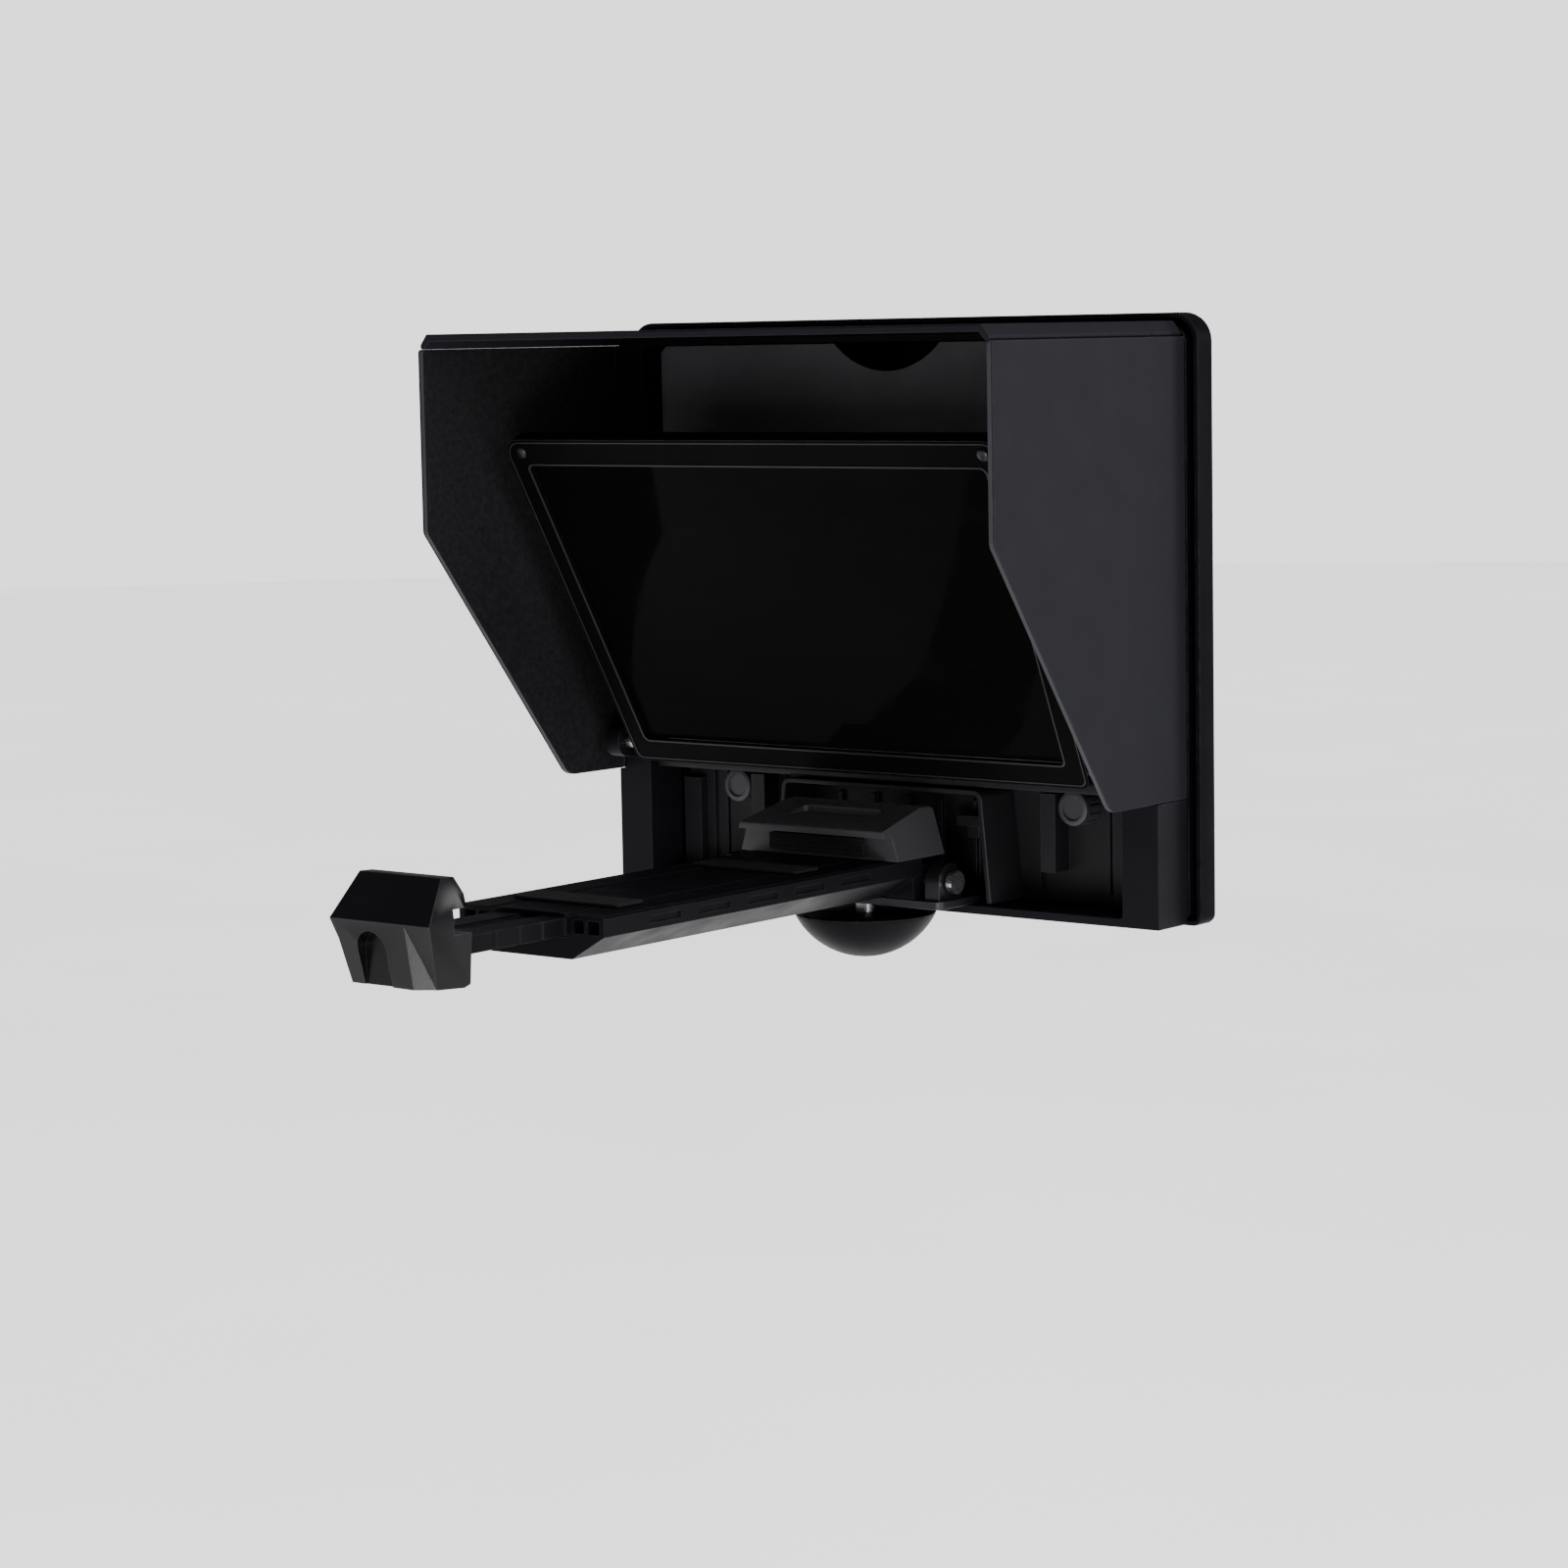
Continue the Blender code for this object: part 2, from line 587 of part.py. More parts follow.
def outer_rail():
    """Channel that carries the tablet and guides the inner slide; round at its hinge."""
    half = [(26.2, RAIL_TOP), (27.0, RAIL_TOP - 0.8), (27.0, 13.0), (15.0, 6.0)]
    rail = sheet("outer_rail", [mirrored(half)], "Y", RAIL_FRONT, -13.0, "tray_plastic")
    root = arc(TRAY_Y, TRAY_Z, 5.0, -90, 90, 10) + [(-16.0, TRAY_Z + 5.0), (-16.0, TRAY_Z - 5.0)]
    fuse(rail, sheet("rail_root", [root], "X", -26.0, 26.0))
    tunnel_x, tunnel_low, tunnel_high = SLIDE_X + GAP, SLIDE_Z[0] - GAP, SLIDE_Z[1] + GAP
    cut(rail, block("rail_tunnel", (-tunnel_x, RAIL_FRONT - 5, tunnel_low), (tunnel_x, -20, tunnel_high)))
    for side in (-1, 1):
        low, high = sorted((side * 16.5, side * 24.5))
        cut(rail, block("rail_pocket", (low, RAIL_FRONT - 5, 13.5), (high, RAIL_FRONT + 14, 17.0)))
    cut(rail, block("rail_relief", (-10.5, -148, 4.0), (10.5, -30, 10.4)))
    cut(rail, rod("rail_pin_hole", HOLE_R, (-30, TRAY_Y, TRAY_Z), (30, TRAY_Y, TRAY_Z), sides=20))
    return rail


def rail_pads():
    """Rubber strips that the tablet lies on."""
    for name, y in (("front", -140.0), ("rear", -60.0)):
        block(f"rail_pad_{name}", (-20, y - 6, RAIL_TOP + GAP), (20, y + 6, TABLET_UNDER), "rubber")


def rear_jaw():
    """Block at the tray's root whose lip holds the tablet's rear edge."""
    face = TABLET_REAR + 1.5
    side_view = fillet(
        [(-5.5, RAIL_TOP + GAP), (-5.5, 33.5), (-20, 33.5), (-33.0, 29.0), (-33.0, LIP_UNDER),
         (face, LIP_UNDER), (face, RAIL_TOP + GAP)], [0, 1.5, 2, 0.8, 0, 0, 0], 3)
    jaw = sheet("rear_jaw", [side_view], "X", -32, 32, "tray_plastic")
    front_view = fillet([(28.0, 18), (24.5, 34.5), (-24.5, 34.5), (-28.0, 18)], [0, 3, 3, 0], 3)
    overlap(jaw, sheet("rear_jaw_sides", [front_view], "Y", -40, 0))
    block("rear_jaw_pad", (-18, TABLET_REAR, 20.4), (18, face - GAP, 25.6), "rubber")
    return jaw


def inner_slide():
    slide = block("inner_slide", (-SLIDE_X, -203.0, SLIDE_Z[0]), (SLIDE_X, SLIDE_TAIL, SLIDE_Z[1]),
                  "tray_plastic")
    return bevel(slide, 0.5)


def front_jaw():
    """Faceted thumb block on the slide's end, with a lip over the tablet's front edge."""
    face = TABLET_FRONT - 1.5
    side_view = fillet(
        [(-203.4, 5.6), (-215.0, 4.5), (-220.6, 22.8), (-211.5, 35.0), (-206.5, 34.6),
         (-204.8, 29.0), (-205.6, LIP_UNDER), (face, LIP_UNDER), (face, TABLET_UNDER - 0.4),
         (-203.4, TABLET_UNDER - 0.4)], [1.0, 1.2, 0.8, 1.0, 0.8, 0, 0, 0, 0, 0], 3)
    jaw = sheet("front_jaw", [side_view], "X", -20, 20, "tray_plastic")
    front_view = [(17.5, 3.0), (18.6, 22.8), (15.2, 36.0), (-15.2, 36.0), (-18.6, 22.8), (-15.5, 3.0)]
    overlap(jaw, sheet("front_jaw_sides", [front_view], "Y", -230, -195))
    thumb_x, thumb_r = -3.5, 5.8
    thumb = (arc(thumb_x, 14.0, thumb_r, 0, 180, 8)
             + [(thumb_x - thumb_r, 0.0), (thumb_x + thumb_r, 0.0)])
    cut(jaw, sheet("thumb_groove", [thumb], "Y", -225, -215.4))
    block("front_jaw_pad", (-11, face + GAP, 20.4), (11, TABLET_FRONT, 25.6), "rubber")
    return jaw


# ---------------------------------------------------------------- lock knob

def lock_knob():
    """Round dome under the tray's root, on a stud that clamps the hinge."""
    centre_z = KNOB_BOTTOM + KNOB_R
    top = -0.6
    rim = math.degrees(math.asin((centre_z - top) / KNOB_R))
    curve = arc(0, centre_z, KNOB_R, -rim, -90, 12)[:-1]
    profile = ([(0, -5.9), (STUD_R + GAP, -5.9), (STUD_R + GAP, top), (curve[0][0] - 0.8, top)]
               + [(u, v) for u, v in curve] + [(0, KNOB_BOTTOM)])
    turned("lock_knob", profile, (0, KNOB_Y, 0), "Z", "tray_plastic", 48)
    rod("knob_stud", STUD_R, (0, KNOB_Y, -5.6), (0, KNOB_Y, 5.5), "steel", 24)


# ---------------------------------------------------------------- joints

def pivot(name, x, y, z, *nodes):
    """An empty on a joint's axis that carries the pieces moving on it."""
    empty = bpy.data.objects.new(name, None)
    empty.empty_display_size = 0.01
    bpy.context.scene.collection.objects.link(empty)
    empty.location = at(x, y, z)
    bpy.context.view_layer.update()
    for node in nodes:
        obj = bpy.data.objects[node]
        world = obj.matrix_world.copy()
        obj.parent = empty
        obj.matrix_parent_inverse = empty.matrix_world.inverted()
        obj.matrix_world = world
    return empty


def add_pivots():
    pivot("glass_axis", 0, GLASS_PIVOT.y, GLASS_PIVOT.z, "glass_frame", "glass_pane",
          "glass_pin_left", "glass_pin_right", "glass_screw_left", "glass_screw_right")
    pivot("hood_left_axis", -WALL_X, 0, PANEL_TOP, "hood_side_left")
    pivot("hood_right_axis", WALL_X, 0, PANEL_TOP, "hood_side_right")
    pivot("hood_top_axis", 0, 0, HOOD_FOLD_Z, "hood_top")
    tray = pivot("tray_axis", 0, TRAY_Y, TRAY_Z, "outer_rail", "rail_pad_front", "rail_pad_rear",
                 "rear_jaw", "rear_jaw_pad")
    slide = pivot("slide_axis", 0, TABLET_FRONT, SLIDE_Z[0], "inner_slide", "front_jaw",
                  "front_jaw_pad")
    slide.parent = tray
    slide.matrix_parent_inverse = tray.matrix_world.inverted()
    pivot("knob_axis", 0, KNOB_Y, 0, "lock_knob", "knob_stud")
    pivot("ring_axis", 0, RING_BACK, LENS_Z, "adapter_ring")
    pivot("button_axis", 0, 29.0, LENS_Z + 63.8, "release_button")


def build():
    rear_shell()
    front_frame()
    baffle_panel()
    lower_panel()
    jaw_cowl()
    cross_bar()
    thumb_bosses()
    housing_screws()
    tripod_bush()
    lens_collar()
    adapter_ring()
    release_button()
    glass_frame()
    glass_pane()
    glass_fittings()
    hinge_lugs()
    hood_sides()
    hood_top()
    tray_bracket()
    tray_pin()
    outer_rail()
    rail_pads()
    rear_jaw()
    inner_slide()
    front_jaw()
    lock_knob()
    add_pivots()


build()
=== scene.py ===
import math

import bmesh
import bpy
from mathutils import Matrix, Vector


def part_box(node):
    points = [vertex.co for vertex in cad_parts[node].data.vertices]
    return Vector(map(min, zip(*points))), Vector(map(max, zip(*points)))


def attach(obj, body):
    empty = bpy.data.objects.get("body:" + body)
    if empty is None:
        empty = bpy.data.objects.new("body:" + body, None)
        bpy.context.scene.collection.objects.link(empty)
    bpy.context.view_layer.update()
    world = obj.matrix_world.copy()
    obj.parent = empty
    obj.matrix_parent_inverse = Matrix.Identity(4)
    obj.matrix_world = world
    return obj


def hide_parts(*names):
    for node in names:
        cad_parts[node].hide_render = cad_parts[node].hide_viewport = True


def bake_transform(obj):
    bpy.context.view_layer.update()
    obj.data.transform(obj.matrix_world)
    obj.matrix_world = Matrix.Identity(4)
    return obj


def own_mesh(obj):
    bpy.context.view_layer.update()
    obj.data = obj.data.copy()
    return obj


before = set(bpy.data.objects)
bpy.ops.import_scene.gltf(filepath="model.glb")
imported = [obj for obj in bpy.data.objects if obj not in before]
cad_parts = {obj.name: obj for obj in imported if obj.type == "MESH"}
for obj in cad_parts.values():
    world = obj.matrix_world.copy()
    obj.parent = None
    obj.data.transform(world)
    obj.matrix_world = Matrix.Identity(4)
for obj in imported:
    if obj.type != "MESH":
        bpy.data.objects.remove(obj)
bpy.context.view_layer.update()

MM = 0.001
MERGE = 0.000001               # points closer than this, in metres, are one
GAP = 0.3                      # air between neighbouring pieces

# The bench frame: millimetres, X right as the speaker sees it, Y back from the housing's front
# face, Z up from its bottom edge.
BENCH = Vector((0.0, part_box("front_frame")[0].y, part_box("rear_shell")[0].z))


def at(x, y, z):
    """A bench point in metres in the part's frame."""
    return BENCH + Vector((x, y, z)) * MM


def span(node):
    """Lowest and highest corner of a CAD node, in bench millimetres."""
    return [(corner - BENCH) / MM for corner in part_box(node)]


def centre_of(node):
    low, high = span(node)
    return (low + high) / 2


SHELL_LOW, SHELL_HIGH = span("rear_shell")
WALL_X = span("hood_strip_right")[1].x
HOOD_T = WALL_X - span("hood_strip_right")[0].x
PANEL_TOP = span("hood_side_right")[1].z
PANEL_FOOT_Z = span("hood_side_right")[0].z
HOOD_FRONT = span("hood_top")[0].y
HOOD_FLARE_X = span("hood_top")[1].x - WALL_X
FRONT_DEPTH = span("front_frame")[1].y
FRONT_TOP = span("front_frame")[1].z
FOLD_Z = span("hood_top")[1].z
INNER_X = span("baffle_panel")[1].x + 0.4
LENS_Z = centre_of("adapter_ring").z
SEAM = 0.15                    # half the gap between a hood board and its strip
SKIN_T = 0.4                   # outer skin that runs across each hood hinge
KINK_Z = 118.0                 # where a side panel's front edge starts to slant
FOOT_Y = -26.0                 # where that slant meets the panel's lower edge
PIN_HOLE_R = 2.5               # holes for the tray and glass pins


# ---------------- shape helpers

ALONG = {
    "X": Matrix(((0, 0, 1), (1, 0, 0), (0, 1, 0))).to_4x4(),
    "Y": Matrix(((1, 0, 0), (0, 0, -1), (0, 1, 0))).to_4x4(),
    "Z": Matrix.Identity(4),
}


def new_object(name, data):
    obj = bpy.data.objects.new(name, data)
    bpy.context.scene.collection.objects.link(obj)
    return obj


def from_bmesh(name, shape):
    bmesh.ops.recalc_face_normals(shape, faces=shape.faces)
    mesh = bpy.data.meshes.new(name)
    shape.to_mesh(mesh)
    shape.free()
    return new_object(name, mesh)


def evaluated_mesh(obj):
    """The mesh that an object's modifiers or curve make."""
    bpy.context.view_layer.update()
    graph = bpy.context.evaluated_depsgraph_get()
    return bpy.data.meshes.new_from_object(obj.evaluated_get(graph))


def bake(obj):
    """Turns an object's modifiers into plain mesh."""
    mesh = evaluated_mesh(obj)
    obj.modifiers.clear()
    obj.data = mesh
    return obj


def flatten(shape, degrees):
    """Joins faces of a mesh in the making that lie in one plane."""
    bmesh.ops.dissolve_limit(shape, angle_limit=math.radians(degrees), verts=shape.verts, edges=shape.edges)


def combine(obj, operation, others):
    for other in others:
        modifier = obj.modifiers.new(operation.lower(), "BOOLEAN")
        modifier.operation = operation
        modifier.solver = "EXACT"
        modifier.object = other
    bake(obj)
    for other in others:
        bpy.data.objects.remove(other, do_unlink=True)
    return obj


def cut(obj, *cutters):
    return combine(obj, "DIFFERENCE", cutters)


def fuse(obj, *others):
    return combine(obj, "UNION", others)


def overlap(obj, *others):
    return combine(obj, "INTERSECT", others)


def block(name, low, high):
    """A box between two bench corners, ready to be carved or rounded."""
    shape = bmesh.new()
    size = Vector(high) - Vector(low)
    grow = Matrix.Diagonal((*(size * MM), 1.0))
    bmesh.ops.create_cube(shape, size=1.0, matrix=grow)
    obj = from_bmesh(name, shape)
    obj.matrix_world = Matrix.Translation(at(*((Vector(low) + Vector(high)) / 2)))
    return obj


def rod(name, radius, start, end, sides=48):
    """A straight round bar between two bench points."""
    start, end = at(*start), at(*end)
    axis = end - start
    shape = bmesh.new()
    bmesh.ops.create_cone(shape, cap_ends=True, segments=sides, radius1=radius * MM,
                          radius2=radius * MM, depth=axis.length)
    obj = from_bmesh(name, shape)
    turn = axis.to_track_quat("Z", "Y").to_matrix().to_4x4()
    obj.matrix_world = Matrix.Translation((start + end) / 2) @ turn
    return obj


def sheet(name, loops, along, low, high):
    """A flat outline, with any holes, drawn out between two bench positions on one axis."""
    curve = bpy.data.curves.new(name, "CURVE")
    curve.dimensions = "2D"
    curve.fill_mode = "BOTH"
    curve.extrude = (high - low) / 2 * MM
    for loop in loops:
        spline = curve.splines.new("POLY")
        spline.points.add(len(loop) - 1)
        spline.use_cyclic_u = True
        for point, (u, v) in zip(spline.points, loop):
            point.co = (u * MM, v * MM, 0.0, 1.0)
    outline = new_object(name + "_outline", curve)
    middle = [0.0, 0.0, 0.0]
    middle["XYZ".index(along)] = (low + high) / 2
    outline.matrix_world = Matrix.Translation(at(*middle)) @ ALONG[along]
    shape = bmesh.new()
    shape.from_mesh(evaluated_mesh(outline))
    bmesh.ops.remove_doubles(shape, verts=shape.verts, dist=MERGE)
    flatten(shape, 1)
    obj = from_bmesh(name, shape)
    obj.matrix_world = outline.matrix_world.copy()
    bpy.data.objects.remove(outline)
    return obj


def lofted(name, rings, along="Y"):
    """Equal outlines stacked along an axis and joined, closed at both ends."""
    shape = bmesh.new()
    turn = ALONG[along].to_3x3()
    layers = []
    for height, loop in rings:
        place = Vector((0.0, 0.0, 0.0))
        place["XYZ".index(along)] = height
        layers.append([shape.verts.new(at(*(place + turn @ Vector((u, v, 0.0))))) for u, v in loop])
    for lower, upper in zip(layers, layers[1:]):
        for i in range(len(lower)):
            j = (i + 1) % len(lower)
            shape.faces.new((lower[i], lower[j], upper[j], upper[i]))
    shape.faces.new(layers[0])
    shape.faces.new(layers[-1])
    return from_bmesh(name, shape)


def turned(name, profile, centre, along, steps=96, back=False):
    """A profile of (radius, height) points turned about an axis through a bench point."""
    shape = bmesh.new()
    verts = [shape.verts.new((r * MM, 0.0, h * MM)) for r, h in profile]
    edges = [shape.edges.new(pair) for pair in zip(verts, verts[1:])]
    if profile[0][0] > 0:
        edges.append(shape.edges.new((verts[-1], verts[0])))
    bmesh.ops.spin(shape, geom=verts + edges, axis=(0, 0, 1), cent=(0, 0, 0),
                   angle=2 * math.pi, steps=steps, use_merge=True)
    bmesh.ops.remove_doubles(shape, verts=shape.verts, dist=MERGE)
    obj = from_bmesh(name, shape)
    direction = {"X": Vector((1, 0, 0)), "Y": Vector((0, 1, 0)), "Z": Vector((0, 0, 1))}[along]
    if back:
        direction = -direction
    turn = direction.to_track_quat("Z", "Y").to_matrix().to_4x4()
    obj.matrix_world = Matrix.Translation(at(*centre)) @ turn
    return obj


def hull(name, points):
    """The convex solid around a few bench points."""
    shape = bmesh.new()
    for point in points:
        shape.verts.new(at(*point))
    bmesh.ops.convex_hull(shape, input=shape.verts)
    flatten(shape, 1.5)
    return from_bmesh(name, shape)


def wire(name, points, thickness):
    """A round wire through bench points."""
    curve = bpy.data.curves.new(name, "CURVE")
    curve.dimensions = "3D"
    curve.bevel_depth = thickness / 2 * MM
    curve.bevel_resolution = 2
    curve.use_fill_caps = True
    spline = curve.splines.new("POLY")
    spline.points.add(len(points) - 1)
    for point, place in zip(spline.points, points):
        point.co = (*at(*place), 1.0)
    drawn = new_object(name + "_line", curve)
    obj = new_object(name, evaluated_mesh(drawn))
    bpy.data.objects.remove(drawn)
    return obj


def arc(centre_u, centre_v, radius, first, last, steps):
    return [(centre_u + radius * math.cos(math.radians(first + (last - first) * i / steps)),
             centre_v + radius * math.sin(math.radians(first + (last - first) * i / steps)))
            for i in range(steps + 1)]


def rounded(low_u, low_v, high_u, high_v, radius_low, radius_high, steps=8):
    """A rectangle's outline, with one radius for its two lower and one for its two upper corners."""
    points = arc(high_u - radius_low, low_v + radius_low, radius_low, -90, 0, steps)
    points += arc(high_u - radius_high, high_v - radius_high, radius_high, 0, 90, steps)
    points += arc(low_u + radius_high, high_v - radius_high, radius_high, 90, 180, steps)
    points += arc(low_u + radius_low, low_v + radius_low, radius_low, 180, 270, steps)
    return points


def fillet(points, radii, steps=6):
    """An outline whose corners are rounded to the radius given for each."""
    outline = []
    count = len(points)
    for index, radius in enumerate(radii):
        corner = Vector(points[index])
        if radius == 0:
            outline.append(tuple(corner))
            continue
        before = (Vector(points[index - 1]) - corner).normalized()
        after = (Vector(points[(index + 1) % count]) - corner).normalized()
        half = before.angle(after) / 2
        reach = radius / math.tan(half)
        centre = corner + (before + after).normalized() * radius / math.sin(half)
        start = corner + before * reach - centre
        end = corner + after * reach - centre
        for step in range(steps + 1):
            share = step / steps
            spoke = (start * (1 - share) + end * share).normalized() * radius
            outline.append(tuple(centre + spoke))
    return outline


def button_head(radius, height, base=0.0):
    """Profile of a low round head, from its tip to its rim."""
    angles = [math.radians(degrees) for degrees in range(90, -1, -15)]
    return [(radius * math.cos(a), base + height * math.sin(a)) for a in angles]


def mirrored(half):
    """A closed outline from its +u half, listed from top to bottom."""
    return [(-u, v) for u, v in reversed(half)] + list(half)


def smooth(obj, angle=35):
    obj.data.shade_smooth()
    obj.data.set_sharp_from_angle(angle=math.radians(angle))
    return obj


def round_edges(obj, width, segments=2, angle=30):
    """Fine radius on every edge, with the flat faces kept flat in shading."""
    smooth(obj, angle)
    modifier = obj.modifiers.new("edges", "BEVEL")
    modifier.width = width * MM
    modifier.segments = segments
    modifier.limit_method = "ANGLE"
    modifier.angle_limit = math.radians(angle)
    modifier.harden_normals = True
    modifier.use_clamp_overlap = True
    modifier.miter_outer = "MITER_ARC"
    return bake(obj)


def dress(obj, materials):
    obj.data.materials.clear()
    for material in materials:
        obj.data.materials.append(material)
    return obj


def fit(obj, material, body, slot_name, *nodes, edge=0.25, segments=2):
    """Finishes a piece: fine edges, its material, its body, and the CAD nodes it stands for."""
    if edge:
        round_edges(obj, edge, segments)
    else:
        smooth(obj)
    dress(obj, [material])
    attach(obj, body)
    if nodes:
        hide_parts(*nodes)
    return obj


# ---------------- materials

def add(tree, kind, **settings):
    made = tree.nodes.new(kind)
    for key, value in settings.items():
        setattr(made, key, value)
    return made


def noise(tree, scale, detail=3.0, stretch=(1.0, 1.0, 1.0)):
    """Noise in the piece's own metres, with about `scale` grains to the metre."""
    where = add(tree, "ShaderNodeTexCoord")
    sized = add(tree, "ShaderNodeMapping")
    sized.inputs["Scale"].default_value = stretch
    grain = add(tree, "ShaderNodeTexNoise")
    grain.inputs["Scale"].default_value = scale
    grain.inputs["Detail"].default_value = detail
    tree.links.new(where.outputs["Object"], sized.inputs["Vector"])
    tree.links.new(sized.outputs["Vector"], grain.inputs["Vector"])
    return grain.outputs["Fac"]


def ranged(tree, value, from_low, from_high, low, high):
    node = add(tree, "ShaderNodeMapRange")
    tree.links.new(value, node.inputs["Value"])
    limits = {"From Min": from_low, "From Max": from_high, "To Min": low, "To Max": high}
    for key, number in limits.items():
        node.inputs[key].default_value = number
    return node.outputs["Result"]


def blended(tree, factor, first, second):
    """A colour between two colours, or between a socket and a colour."""
    node = add(tree, "ShaderNodeMix", data_type="RGBA")
    tree.links.new(factor, node.inputs["Factor"])
    for key, colour in (("A", first), ("B", second)):
        socket = [s for s in node.inputs if s.name == key and s.type == "RGBA"][0]
        if isinstance(colour, tuple):
            socket.default_value = (*colour, 1.0)
        else:
            tree.links.new(colour, socket)
    return [s for s in node.outputs if s.type == "RGBA"][0]


def product(tree, first, second):
    node = add(tree, "ShaderNodeMath", operation="MULTIPLY")
    tree.links.new(first, node.inputs[0])
    tree.links.new(second, node.inputs[1])
    return node.outputs["Value"]


def edge_wear_and_highlight_mask(tree, radius):
    """Near 1 along edges of about the given radius in millimetres, broken up by noise: it pales edges partly
    as wear and partly as a painted highlight.
    """
    soft = add(tree, "ShaderNodeBevel", samples=4)
    soft.inputs["Radius"].default_value = radius * MM
    true = add(tree, "ShaderNodeNewGeometry")
    match = add(tree, "ShaderNodeVectorMath", operation="DOT_PRODUCT")
    tree.links.new(soft.outputs["Normal"], match.inputs[0])
    tree.links.new(true.outputs["Normal"], match.inputs[1])
    edge = ranged(tree, match.outputs["Value"], 0.995, 0.90, 0.0, 1.0)
    return product(tree, edge, ranged(tree, noise(tree, 260.0), 0.35, 0.65, 0.3, 1.0))


def bumped(tree, shader, height, distance, strength=1.0):
    bump = add(tree, "ShaderNodeBump")
    bump.inputs["Distance"].default_value = distance * MM
    bump.inputs["Strength"].default_value = strength
    tree.links.new(height, bump.inputs["Height"])
    tree.links.new(bump.outputs["Normal"], shader.inputs["Normal"])


def new_material(name):
    material = bpy.data.materials.new(name)
    material.use_nodes = True
    return material, material.node_tree, material.node_tree.nodes["Principled BSDF"]


def scaled(colour, factor):
    return tuple(channel * factor for channel in colour)


def moulded(name, colour, roughness, grain=1500.0, depth=0.02, mottle=0.2, edge_wear_and_highlight=2.2, specular=0.5,
            metallic=0.0, rough_spread=0.07):
    """Moulded plastic or finished metal: fine grain, uneven gloss, cloudy tone, and paler edges that are
    partly wear and partly painted highlight.
    """
    material, tree, shader = new_material(name)
    cloud = ranged(tree, noise(tree, 22.0, 4.0), 0.3, 0.7, 0.0, 1.0)
    tone = blended(tree, cloud, scaled(colour, 1.0 - mottle), scaled(colour, 1.0 + mottle))
    # paler edges: partly wear, partly painted highlight lines along the edges
    if edge_wear_and_highlight:
        tone = blended(tree, edge_wear_and_highlight_mask(tree, 0.5), tone, scaled(colour, edge_wear_and_highlight))
    tree.links.new(tone, shader.inputs["Base Color"])
    gloss = ranged(tree, noise(tree, 75.0, 5.0), 0.3, 0.7, roughness - rough_spread,
                   roughness + rough_spread)
    tree.links.new(gloss, shader.inputs["Roughness"])
    shader.inputs["Metallic"].default_value = metallic
    shader.inputs["Specular IOR Level"].default_value = specular
    bumped(tree, shader, noise(tree, grain, 2.0), depth)
    return material


def flocked(name, colour):
    """Short matt fibres: speckled, cloudy and soft at grazing angles."""
    material, tree, shader = new_material(name)
    speck = ranged(tree, noise(tree, 620.0, 6.0), 0.36, 0.64, 0.0, 1.0)
    tone = blended(tree, speck, scaled(colour, 0.45), scaled(colour, 1.75))
    cloud = ranged(tree, noise(tree, 14.0, 3.0), 0.3, 0.7, 0.0, 0.35)
    tone = blended(tree, cloud, tone, scaled(colour, 0.5))
    tree.links.new(tone, shader.inputs["Base Color"])
    rough = ranged(tree, noise(tree, 400.0), 0.3, 0.7, 0.84, 0.98)
    tree.links.new(rough, shader.inputs["Roughness"])
    shader.inputs["Specular IOR Level"].default_value = 0.12
    shader.inputs["Sheen Weight"].default_value = 0.03
    shader.inputs["Sheen Roughness"].default_value = 0.5
    bumped(tree, shader, noise(tree, 900.0, 6.0), 0.12, 0.8)
    return material


def brushed(name, colour, roughness, stretch):
    """Turned or drawn metal with fine lines along one direction."""
    material, tree, shader = new_material(name)
    lines = noise(tree, 900.0, 4.0, stretch)
    factor = ranged(tree, lines, 0.3, 0.7, 0.0, 1.0)
    tone = blended(tree, factor, scaled(colour, 0.8), scaled(colour, 1.1))
    tree.links.new(tone, shader.inputs["Base Color"])
    gloss = ranged(tree, lines, 0.3, 0.7, roughness - 0.08, roughness + 0.1)
    tree.links.new(gloss, shader.inputs["Roughness"])
    shader.inputs["Metallic"].default_value = 1.0
    bumped(tree, shader, lines, 0.01)
    return material


def coated_glass():
    """Dark mirror-coated glass with faint wiping marks."""
    material, tree, shader = new_material("beam_splitter_glass")
    haze = ranged(tree, noise(tree, 30.0, 6.0, (1.0, 1.0, 2.6)), 0.45, 0.75, 0.0, 1.0)
    tone = blended(tree, haze, (0.0015, 0.0015, 0.0017), (0.0019, 0.0019, 0.0021))
    tree.links.new(tone, shader.inputs["Base Color"])
    tree.links.new(ranged(tree, haze, 0.0, 1.0, 0.05, 0.20), shader.inputs["Roughness"])
    shader.inputs["Specular IOR Level"].default_value = 0.006
    shader.inputs["Alpha"].default_value = 0.994
    bumped(tree, shader, noise(tree, 8.0, 1.0), 0.004, 0.1)
    return material


def studio_floor():
    material, tree, shader = new_material("studio_floor")
    cloud = ranged(tree, noise(tree, 3.0, 4.0), 0.3, 0.7, 0.0, 1.0)
    tone = blended(tree, cloud, (0.80, 0.80, 0.805), (0.83, 0.83, 0.835))
    tree.links.new(tone, shader.inputs["Base Color"])
    tree.links.new(ranged(tree, cloud, 0.0, 1.0, 0.85, 0.95), shader.inputs["Roughness"])
    shader.inputs["Specular IOR Level"].default_value = 0.1
    return material
